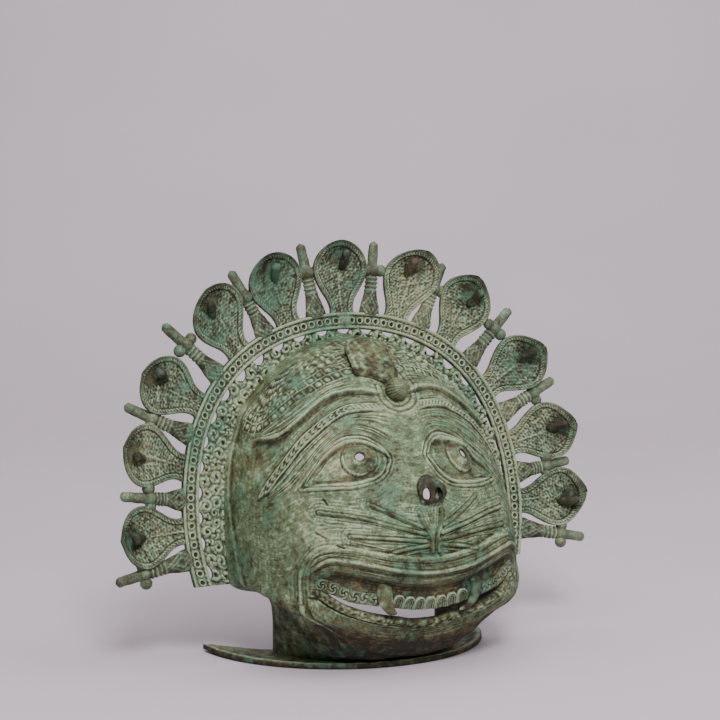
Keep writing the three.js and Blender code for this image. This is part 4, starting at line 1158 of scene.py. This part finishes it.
inner_edge = np.minimum(inner_edge, outer_edge - 5)
share = np.linspace(0, 1, 52)
lace_radius = inner_edge[:, None] + (outer_edge - inner_edge)[:, None] * share[None, :]
lace_angle = np.broadcast_to(lace_angles[:, None], lace_radius.shape)
lace_x = lace_radius * np.sin(np.radians(lace_angle))
lace_y = lace_radius * np.cos(np.radians(lace_angle))
rng = np.random.default_rng(5)
swirls = []
for from_band, row_pitch, size in FLORET_ROWS:
    at = -BAND_END + rng.uniform(1, 4)
    while at < BAND_END:
        r = float(band_radius(np.array(at))) - BAND_HALF - from_band + rng.uniform(-1.2, 1.2)
        x, y = r * math.sin(math.radians(at)), r * math.cos(math.radians(at))
        swirls.append((x, y, size * rng.uniform(0.8, 1.2), rng.uniform(0, 6.28), rng.choice([-1, 1]),
                       rng.integers(1, 6)))
        at += math.degrees(row_pitch / r) * rng.uniform(0.85, 1.15)
height = np.full(lace_radius.shape, -0.2)
eye = np.zeros_like(height)
for x, y, size, start, hand, arms in swirls:
    dx, dy = lace_x - x, lace_y - y
    near = np.hypot(dx, dy) < 1.1 * size
    r = np.hypot(dx[near], dy[near]) / size
    theta = np.arctan2(dy[near], dx[near])
    spiral = np.abs(np.cos(0.5 * (arms * theta + start + hand * (8.5 - arms) * r)))
    petals = np.sqrt(np.clip(1 - (r / 1.1) ** 2, 0, 1)) * (0.45 + 0.55 * spiral)
    height[near] = np.maximum(height[near], FLORET_RISE * (petals - spot(r, 0.24)))
    eye[near] = np.maximum(eye[near], spot(r, 0.3))
lace_flat = np.stack([lace_x, lace_y, np.zeros_like(lace_x)], -1)
height = height * (1 + 0.35 * uneven(lace_flat, 23)) + 0.5 * uneven(lace_flat, 4.5)
height = height + 0.3 * uneven(lace_flat, 2.6)
lace_angle = level_foot(lace_angle, lace_radius)
front, back = (arch_point(lace_angle, lace_radius, out) for out in (height + 0.4, -1.3))
lace_mark = 0.8 * recess_mark(height, 1, 4) + 0.5 * eye - 0.28
add_piece("halo_lace", *twin_sheet(front, back), {"recess": both_skins(lace_mark, 0.5)})
print("florets in the lace:", len(swirls))

# %% [markdown]
# ## Cobra hoods
# Eleven cobra hoods stand round the band. Each is a dished shield whose tip curls forward. First comes
# its outline: a narrow waist that widens upwards, then a rounded end that is more pointed at the sides
# of the halo than at its top.

# %% Outline of a hood
HOOD_ANGLES = [0, 18.2, 36.3, 56, 74.8, 93.2]
HOOD_HEIGHT = 60
HOOD_CURL = 13
HOOD_WIDEST = 37
HOOD_HALF = 24.3
HOOD_THICKNESS = 2.2
WAIST_SHARE = 0.52
HOOD_WAIST = [[0, 11], [6, 10.3], [13, 12.4], [20, 17.0], [27, 21.3], [33, 23.7], [37, 24.3], [41, 24.3]]


def hood_outline(rows, pointed):
    t = np.linspace(0, 1, rows)
    turn = np.clip((t - WAIST_SHARE) / (1 - WAIST_SHARE), 0, 1) * math.pi / 2
    rise_share = (1 - pointed) * np.sin(turn) + pointed * np.sin(turn) ** 9
    round_up = HOOD_WIDEST + (HOOD_HEIGHT - HOOD_WIDEST) * rise_share
    up = np.where(t < WAIST_SHARE, HOOD_WIDEST * t / WAIST_SHARE, round_up)
    half = np.where(t < WAIST_SHARE, read_line(HOOD_WAIST, up), HOOD_HALF * np.cos(turn))
    return up, np.maximum(half, 0.15)


print("a hood is", HOOD_HEIGHT, "mm high and", 2 * HOOD_HALF, "mm wide")

# %% [markdown]
# ## Relief of a hood
# A hood has a smooth rim, a knurled rope inside the rim, a field of scales with a spine down its middle,
# and the snake's small head rising near the tip over a hollow. A number of its own bends each a little
# differently, as wax bent by hand does.

# %% Hoods
SCALE_ROW, SCALE_PITCH = 2.5, 3.0
SPREAD = 0.96


def hood(angle, number):
    own = math.sin(number * 2.4)
    up, half = hood_outline(96, 0.03 + 0.1 * ease(angle, 10, 50))
    across = np.sin(np.linspace(-1, 1, 65) * math.pi / 2 * SPREAD) / math.sin(math.pi / 2 * SPREAD)
    up_grid = np.broadcast_to(up[:, None], (len(up), len(across)))
    side_grid = half[:, None] * across[None, :]
    outline = np.concatenate([np.stack([up, half], -1), np.stack([up, -half], -1)[::-1]])[2:-2]
    gaps = np.hypot(up_grid[..., None] - outline[:, 0], side_grid[..., None] - outline[:, 1])
    from_edge = gaps.min(-1)
    nearest = gaps.argmin(-1)
    run = np.concatenate([[0], np.cumsum(np.hypot(*np.diff(outline, axis=0).T))])[nearest]
    height = wire(from_edge - 1.0, 1.1, 1.2) * (from_edge < 2.1)
    rope_zone = swell(from_edge, 1.8, 2.3, 4.0, 4.6)
    height = height + rope_zone * (0.2 + wire(np.mod(run + from_edge * 0.9, 2.6) - 1.3, 1.1, 1.2))
    height = height - 0.5 * spot(from_edge - 4.8, 0.5)
    field = ease(from_edge, 4.8, 5.6)
    flat_points = np.stack([side_grid, up_grid, np.full_like(up_grid, 40.0 * number)], -1)
    bend = 1.4 * uneven(flat_points, 19)
    scale_v = up_grid + 0.168 * np.abs(side_grid) + bend
    shift = SCALE_PITCH / 2 * np.mod(np.floor(scale_v / SCALE_ROW), 2)
    scale_u = np.mod(side_grid + bend + shift, SCALE_PITCH) - SCALE_PITCH / 2
    scales = wire(np.hypot(scale_u, np.mod(scale_v, SCALE_ROW) - 0.3) - 1.4, 0.75, 0.6)
    scales = scales + 0.6 * uneven(flat_points, 3.6, angle) + 0.4 * uneven(flat_points, 7.0, number)
    height = height + field * (scales - 0.35)
    height = height + wire(side_grid - own, 1.0, 0.9) * (1 - ease(up_grid, 30, 36)) * field
    hollow = spot(side_grid + own, 10) * spot(up_grid - 49, 7)
    height = height - 3.6 * hollow
    curl = (HOOD_CURL + 1.5 * own) * (up_grid / HOOD_HEIGHT) ** 2.5
    dish = 2.6 * (across[None, :] ** 2) * ease(up_grid, 10, 34) + 0.8 * own * across[None, :]
    foot = band_radius(angle) + 4
    turned = angle + math.degrees(0.03 * own) * (up_grid / HOOD_HEIGHT)
    front = arch_point(turned, foot + up_grid, curl + dish + height, side_grid)
    back = arch_point(turned, foot + up_grid, curl + dish - HOOD_THICKNESS, side_grid)
    # The hollow round the snake's head is also darkened here: painted shade on top of the recess mark.
    recess = both_skins(0.8 * recess_mark(height, 1, 4) + 0.8 * hollow + 0.05, 0.4)
    path_up = np.linspace(36, 51, 20)
    path_out = HOOD_CURL * (path_up / HOOD_HEIGHT) ** 2.5 - 0.6 + 8.5 * ease(path_up, 35, 52)
    path = arch_point(angle, foot + path_up, path_out, -own)
    facing = np.broadcast_to(arch_point(angle, foot, 1.0) - arch_point(angle, foot, 0.0), path.shape)
    size = np.interp(path_up, [36, 40, 45, 49, 51], [2.2, 3.2, 3.8, 3.9, 3.2])
    snake = round_cord(path, facing, size, taper=1.0, sides=16, flat=0.9)
    return twin_sheet(front, back), recess, snake


hood_parts, hood_marks = [], []
for number, angle in enumerate(sorted([*HOOD_ANGLES, *(-a for a in HOOD_ANGLES[1:])])):
    body, recess, snake = hood(angle, number)
    hood_parts += [body, snake]
    hood_marks += [recess, np.full(len(snake[0]), 0.7)]
points, faces = gather(hood_parts)
add_piece("cobra_hoods", points, faces, {"recess": np.concatenate(hood_marks)}, most=190000)

# %% [markdown]
# ## Finials
# A finial stands beside every hood: a flared foot with nested almond lines, a few turned rings, a ball
# to each side that touches the hoods, and a plain round-ended shaft. Its section is an oval whose width
# and depth are read at a few stops up the shaft.

# %% Finials
SPIKE_ANGLES = [8.9, 26.5, 45.9, 65.2, 84.1, 101.5]
SPIKE_TIPS = [214.4, 215, 219, 215, 205, 216.9]
BALL_FROM_TIP = 24
BALL_ASIDE = 6.8
RINGS_ON_NECK = 3.5


def finial(angle, tip):
    own = math.sin(angle * 1.7)
    foot = float(band_radius(np.array(angle))) + 5.2
    ball_at = tip - BALL_FROM_TIP
    stations = np.linspace(foot, tip, 110)
    height_up = stations - foot
    neck = ball_at - foot - 4.5
    shaft, top = ball_at - foot, tip - foot
    stops = [0, 5, neck * 0.55, neck * 0.62, neck, shaft, shaft + 6, top - 2, top]
    wide = np.interp(height_up, stops, [9.5, 8.6, 5.6, 5.2, 5.0, 5.0, 4.2, 3.9, 2.2])
    deep = np.interp(height_up, stops, [2.4, 2.8, 3.4, 3.8, 4.2, 4.4, 4.0, 3.7, 2.0])
    rib_pitch = neck * 0.38 / RINGS_ON_NECK
    ribs = 0.55 * np.maximum(np.cos((height_up - neck * 0.62) * 2 * math.pi / rib_pitch), -0.6)
    ribs = ribs * swell(height_up, neck * 0.58, neck * 0.64, neck * 0.98, neck * 1.05)
    round_end = np.sqrt(np.clip(1 - np.clip((height_up - (top - 4)) / 4, 0, 1) ** 2, 0.02, 1))
    around = np.linspace(0, 2 * math.pi, 28, endpoint=False)
    side = np.cos(around)[None, :] * ((wide + ribs) * round_end)[:, None]
    out = np.sin(around)[None, :] * ((deep + ribs) * round_end)[:, None]
    almond = np.abs(side) / wide[:, None] + np.abs(height_up[:, None] - neck * 0.22) / (neck * 0.36)
    lines = wire(almond - 0.95, 0.13, 1.1) + wire(almond - 0.5, 0.16, 1.1)
    out = out + lines * (np.sin(around) > 0.25)[None, :]
    bent = own * 1.2 * (height_up / height_up[-1]) ** 2
    rings = arch_point(angle, stations[:, None], 0.6 + out, side + bent[:, None])
    rings = rings + 0.25 * uneven(rings, 7)[..., None] * unit(rings - rings.mean(1, keepdims=True))
    in_foot = 1 - ease(height_up, neck * 0.55, neck * 0.62)
    mark = 0.35 * in_foot[:, None] - 0.6 * lines - 0.7 * ribs[:, None] * (1 - in_foot)[:, None]
    marks = [np.concatenate([0.1 + mark.ravel(), np.zeros(2)])]
    parts = [loft(rings)]
    for sign in (-1, 1):
        centre = arch_point(angle, ball_at + own * sign, 1.8, sign * BALL_ASIDE + own)
        parts.append(ball(centre, 4.8 + 0.3 * own * sign, 22, 14))
    parts.append(ball(arch_point(angle, ball_at, 2.4), 5.2, 20, 12))
    marks += [np.full(len(part[0]), 0.1) for part in parts[1:]]
    return parts, marks


finial_parts, finial_marks = [], []
for at, tip in zip(SPIKE_ANGLES, SPIKE_TIPS):
    for side in (-1, 1):
        parts, marks = finial(side * at, tip)
        finial_parts += parts
        finial_marks += marks
add_piece("finials", *gather(finial_parts), {"recess": np.concatenate(finial_marks)})

# %% [markdown]
# ## Patina
# Old brass that has been buried turns green where it was touched by damp and stays brown in the
# recesses, while the ridges wear to a paler green. All this is mixed by shader nodes. These helpers add
# one node each and return its output. A value may be a number, a colour or another node's output.

# %% Node helpers
def feed(tree, value, socket):
    if isinstance(value, bpy.types.NodeSocket):
        tree.links.new(value, socket)
    else:
        socket.default_value = value


def add_node(tree, kind, values):
    node = tree.nodes.new(kind)
    for label, value in values.items():
        feed(tree, value, node.inputs[label])
    return node.outputs[0]


def noise(tree, vector, scale, detail, roughness=0.55):
    values = {"Vector": vector, "Scale": scale, "Detail": detail, "Roughness": roughness}
    return add_node(tree, "ShaderNodeTexNoise", values)


def span(tree, value, low, high, to_low=0.0, to_high=1.0):
    values = {"Value": value, "From Min": low, "From Max": high, "To Min": to_low, "To Max": to_high}
    result = add_node(tree, "ShaderNodeMapRange", values)
    result.node.interpolation_type = "SMOOTHSTEP"
    return result


def calc(tree, operation, *values):
    result = add_node(tree, "ShaderNodeMath", dict(enumerate(values)))
    result.node.operation = operation
    return result


def swing(tree, value, gain):
    return calc(tree, "MULTIPLY_ADD", value, gain, -0.5 * gain)


def blend_colour(tree, factor, first, second):
    node = tree.nodes.new("ShaderNodeMix")
    node.data_type = "RGBA"
    for place, value in ((0, factor), (6, first), (7, second)):
        feed(tree, value, node.inputs[place])
    return node.outputs[2]


KINDS = {1: "NodeSocketFloat", 3: "NodeSocketVector", 4: "NodeSocketColor"}


def new_group(name, inputs, outputs):
    group = bpy.data.node_groups.new(name, "ShaderNodeTree")
    for label, value in inputs.items():
        kind = KINDS[np.size(value)]
        group.interface.new_socket(label, in_out="INPUT", socket_type=kind).default_value = value
    for label, size in outputs.items():
        group.interface.new_socket(label, in_out="OUTPUT", socket_type=KINDS[size])
    return group, group.nodes.new("NodeGroupInput").outputs, group.nodes.new("NodeGroupOutput").inputs


print("kinds of socket in the groups:", sorted(KINDS.values()))

# %% [markdown]
# ## Three node groups
# The Patina group mixes six colours from the recess mark and a few scales of noise. The Streaks group
# draws a noise out along the lines of the face. The Cast surface group gives grain and pits as a height
# for a bump. Each is built once, and every material uses them with its own values.

# %% Patina, Streaks and Cast surface
def build_patina():
    group, entry, leave = new_group("Patina", {
        "Vector": (0, 0, 0), "Recess": 0.0, "Streak": 0.5, **PALETTE, "Rust amount": 0.4, "Lightness": 0.55,
    }, {"Color": 4, "Roughness": 1})
    large = noise(group, entry["Vector"], 24.0, 3.0)
    medium = noise(group, entry["Vector"], 120.0, 6.0, 0.68)
    fine = noise(group, entry["Vector"], 560.0, 5.0, 0.75)
    spots = noise(group, entry["Vector"], 210.0, 5.0, 0.7)
    tone = entry["Lightness"]
    for value, gain in ((large, 1.35), (medium, 1.7), (fine, 1.8), (entry["Streak"], 1.5)):
        tone = calc(group, "ADD", tone, swing(group, value, gain))
    sunk = calc(group, "MAXIMUM", entry["Recess"], 0.0)
    raised = calc(group, "MINIMUM", entry["Recess"], 0.0)
    tone = calc(group, "SUBTRACT", tone, calc(group, "MULTIPLY", sunk, calc(group, "ADD", medium, 0.5)))
    tone = calc(group, "MULTIPLY_ADD", raised, -0.9, tone)
    colour = blend_colour(group, span(group, tone, 0.0, 0.32), entry["Dark"], entry["Olive"])
    damp = span(group, calc(group, "ADD", medium, swing(group, large, -0.8)), 0.52, 0.7, 0.0, 0.6)
    rusty = span(group, calc(group, "ADD", spots, swing(group, large, 0.7)), 0.53, 0.7)
    rusty = calc(group, "MULTIPLY", rusty, entry["Rust amount"])
    for share, label in ((span(group, tone, 0.3, 0.62), "Green"), (span(group, tone, 0.62, 1.15), "Pale"),
                         (damp, "Verdigris"), (rusty, "Rust")):
        colour = blend_colour(group, share, colour, entry[label])
    feed(group, colour, leave["Color"])
    feed(group, span(group, tone, 0.1, 1.0, 0.72, 0.5), leave["Roughness"])
    return group


def build_streaks():
    sizes = {"Along": 0.0, "Across": 0.0, "Length": 14.0, "Width": 1.3}
    group, entry, leave = new_group("Streaks", sizes, {"Value": 1})
    along = calc(group, "DIVIDE", entry["Along"], entry["Length"])
    across = calc(group, "DIVIDE", entry["Across"], entry["Width"])
    place = add_node(group, "ShaderNodeCombineXYZ", {"X": along, "Y": across})
    feed(group, noise(group, place, 1.0, 4.0, 0.65), leave["Value"])
    return group


def build_cast():
    values = {"Vector": (0, 0, 0), "Streak": 0.5, "Grain scale": 800.0, "Pit scale": 260.0}
    group, entry, leave = new_group("Cast surface", values, {"Height": 1})
    grain = noise(group, entry["Vector"], entry["Grain scale"], 3.0, 0.7)
    pits = span(group, noise(group, entry["Vector"], entry["Pit scale"], 5.0, 0.7), 0.32, 0.5)
    height = calc(group, "ADD", calc(group, "MULTIPLY", grain, 0.6), pits)
    feed(group, calc(group, "MULTIPLY_ADD", entry["Streak"], 2.4, height), leave["Height"])
    return group


PALETTE = {"Dark": (0.020, 0.016, 0.008, 1), "Olive": (0.060, 0.061, 0.026, 1),
           "Green": (0.084, 0.124, 0.063, 1), "Pale": (0.255, 0.310, 0.195, 1),
           "Verdigris": (0.066, 0.150, 0.096, 1), "Rust": (0.165, 0.102, 0.042, 1)}
PATINA = build_patina()
STREAKS = build_streaks()
CAST = build_cast()
print("node groups:", [g.name for g in bpy.data.node_groups])

# %% [markdown]
# ## Materials
# The same groups serve every piece with their own values: how rusty, how light, how rough the bump is,
# and any colours that differ. The face is the greenest part, the halo is browner in its many recesses,
# the nose is dark, and the skin alone carries streaks that follow its lines.

# %% Materials and their places
def new_material(name):
    material = bpy.data.materials.new(name)
    material.use_nodes = True
    tree = material.node_tree
    place = tree.nodes.new("ShaderNodeTexCoord").outputs["Object"]
    return material, tree, tree.nodes["Principled BSDF"].inputs, place


def group_node(tree, group, values):
    node = tree.nodes.new("ShaderNodeGroup")
    node.node_tree = group
    for label, value in values.items():
        feed(tree, value, node.inputs[label])
    return node.outputs


def read_mark(tree, name):
    node = tree.nodes.new("ShaderNodeAttribute")
    node.attribute_name = name
    return node.outputs["Fac"]


def brass(name, pieces, rust, lightness, bump=0.6, tint=None):
    material, tree, shader, place = new_material(name)
    values = {"Vector": place}
    if "head" in pieces:
        lines = {"Along": read_mark(tree, "along"), "Across": read_mark(tree, "flow")}
        values["Streak"] = group_node(tree, STREAKS, lines)["Value"]
    height = group_node(tree, CAST, values)["Height"]
    # The recess mark carries the patina of the hollows and also painted shade.
    values |= {"Recess": read_mark(tree, "recess"), "Rust amount": rust, "Lightness": lightness}
    patina = group_node(tree, PATINA, {**values, **(tint or {})})
    bumped = add_node(tree, "ShaderNodeBump", {"Strength": bump, "Distance": BUMP_DEPTH, "Height": height})
    for label, value in (("Base Color", patina["Color"]), ("Roughness", patina["Roughness"]),
                         ("Normal", bumped), ("Metallic", 0.1), ("Specular IOR Level", 0.35)):
        feed(tree, value, shader[label])
    for piece in pieces:
        bpy.data.objects[piece].data.materials.clear()
        bpy.data.objects[piece].data.materials.append(material)
    print(name, "is on", ", ".join(pieces))


BUMP_DEPTH = 0.4 * MM
HALO_TINT = {"Olive": (0.060, 0.061, 0.034, 1), "Green": (0.084, 0.120, 0.074, 1)}
TOOTH_TINT = {"Green": (0.095, 0.150, 0.100, 1)}
brass("green_brass", ["head"], 0.4, 0.6)
brass("halo_brass", ["halo_band", "halo_lace", "cobra_hoods", "finials"], 0.35, 0.6, 0.8, HALO_TINT)
brass("crest_brass", ["whiskers", "crest_leaf", "crest_ball", "fangs"], 0.35, 0.56)
brass("dark_brass", ["nose"], 0.3, -0.02)
brass("tooth_brass", ["teeth"], 0.3, 0.55, tint=TOOTH_TINT)
brass("flange_brass", ["flange"], 0.5, 0.4, 1.0)

# %% [markdown]
# ## Studio
# The mask stands on a pale, slightly lilac sweep of paper: a flat floor that bends up into a wall. A
# strong key lamp stands on the left and a weak one on the right. A broad lamp hangs above, and one more
# lights the wall. Sizes here are in metres.

# %% Floor and wall
AZIMUTH, ELEVATION, DISTANCE = math.radians(-29.0), math.radians(8.31), 1.870
FLOOR_FRONT, FLOOR_BACK, WALL_TOP = -1.6, 1.3, 4.5
BEND_RADIUS = 1.2
HALF_WIDTH = 5
BELOW = 0.0005
material, tree, shader, place = new_material("lilac_paper")
tone = span(tree, noise(tree, place, 3.0, 3.0), 0.3, 0.7)
feed(tree, blend_colour(tree, tone, (0.468, 0.408, 0.447, 1), (0.486, 0.424, 0.464, 1)), shader["Base Color"])
shader["Roughness"].default_value = 0.9
shader["Specular IOR Level"].default_value = 0.2
sweep_profile = [(y, 0.0) for y in np.linspace(FLOOR_FRONT, FLOOR_BACK, 9)]
for t in np.linspace(0, math.pi / 2, 24)[1:]:
    sweep_profile.append((FLOOR_BACK + BEND_RADIUS * math.sin(t), BEND_RADIUS * (1 - math.cos(t))))
sweep_profile.append((FLOOR_BACK + BEND_RADIUS, WALL_TOP))
vertices = [(x, y, z - BELOW) for y, z in sweep_profile for x in (-HALF_WIDTH, HALF_WIDTH)]
quads = [(i, i + 1, i + 3, i + 2) for i in range(0, len(vertices) - 2, 2)]
mesh = bpy.data.meshes.new("backdrop")
mesh.from_pydata(vertices, [], quads)
mesh.shade_smooth()
mesh.materials.append(material)
backdrop = bpy.data.objects.new("backdrop", mesh)
bpy.context.scene.collection.objects.link(backdrop)
backdrop.rotation_euler = (0, 0, AZIMUTH)
backdrop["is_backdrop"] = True
print("the paper sweep has", len(quads), "strips")

# %% [markdown]
# ## Lamps and camera
# Each lamp is a soft box with a place, a target, a size and a power in watts. The camera has a long
# lens. It stands a little above the middle of the mask and well to the mask's right, and it looks past
# the mask by a few pixels, as the photo does.

# %% Lamps and camera
def softbox(name, location, target, size, power):
    lamp = bpy.data.lights.new(name, "AREA")
    lamp.shape = "RECTANGLE"
    lamp.size, lamp.size_y = size
    lamp.energy = power
    holder = bpy.data.objects.new(name, lamp)
    holder.location = location
    holder.rotation_euler = (Vector(target) - Vector(location)).to_track_quat("-Z", "Y").to_euler()
    bpy.context.scene.collection.objects.link(holder)


softbox("key", (-0.75, -1.9, 1.8), (0, 0, 0.15), (0.7, 0.7), 84)
softbox("fill", (1.6, -0.9, 1.2), (0, 0, 0.15), (1.2, 1.2), 12)
softbox("above", (0.0, -0.1, 2.1), (0.25, 0.55, 0.2), (2.2, 2.2), 36)
softbox("wall", (0.6, 1.1, 2.0), (1.1, 2.0, 0.5), (1.6, 0.6), 18)
world = bpy.data.worlds.new("studio")
bpy.context.scene.world = world
world.use_nodes = True
world.node_tree.nodes["Background"].inputs["Color"].default_value = (1.0, 0.98, 1.0, 1)
world.node_tree.nodes["Background"].inputs["Strength"].default_value = 0.30

IMAGE_PIXELS, LENS_PIXELS, SENSOR = 720, 2400, 36
OFF_X, OFF_Y = 33.4, 97.3
TARGET = Vector((0, (-40 + SHIFT_Y) * MM, 160 * MM))
level_ray = Vector((math.sin(AZIMUTH), -math.cos(AZIMUTH), 0))
back_ray = level_ray * math.cos(ELEVATION) + Vector((0, 0, math.sin(ELEVATION)))
right_ray = Vector((0, 0, 1)).cross(back_ray).normalized()
up_ray = back_ray.cross(right_ray)
aim = -back_ray + right_ray * (-OFF_X / LENS_PIXELS) + up_ray * (OFF_Y / LENS_PIXELS)
camera = bpy.data.objects.new("camera", bpy.data.cameras.new("camera"))
camera.location = TARGET + back_ray * DISTANCE
camera.data.lens = SENSOR * LENS_PIXELS / IMAGE_PIXELS
camera.data.sensor_width = SENSOR
camera.data.clip_end = 20
camera.rotation_euler = aim.to_track_quat("-Z", "Y").to_euler()
bpy.context.scene.collection.objects.link(camera)
bpy.context.scene.camera = camera
print("lens, mm:", round(camera.data.lens), "at", DISTANCE, "m")

# %% [markdown]
# ## The two boxes
# The boxes of the plain form and of the finished visual are printed as lists, in millimetres. The
# finished visual must fill the same box as the plain form.

# %% Boxes and finish
visual_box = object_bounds()
boxes = {"cad": [list(corner) for corner in cad_box], "visual": [list(corner) for corner in visual_box]}
for label, box in boxes.items():
    print(label, [[round(v / MM, 1) for v in corner] for corner in box])
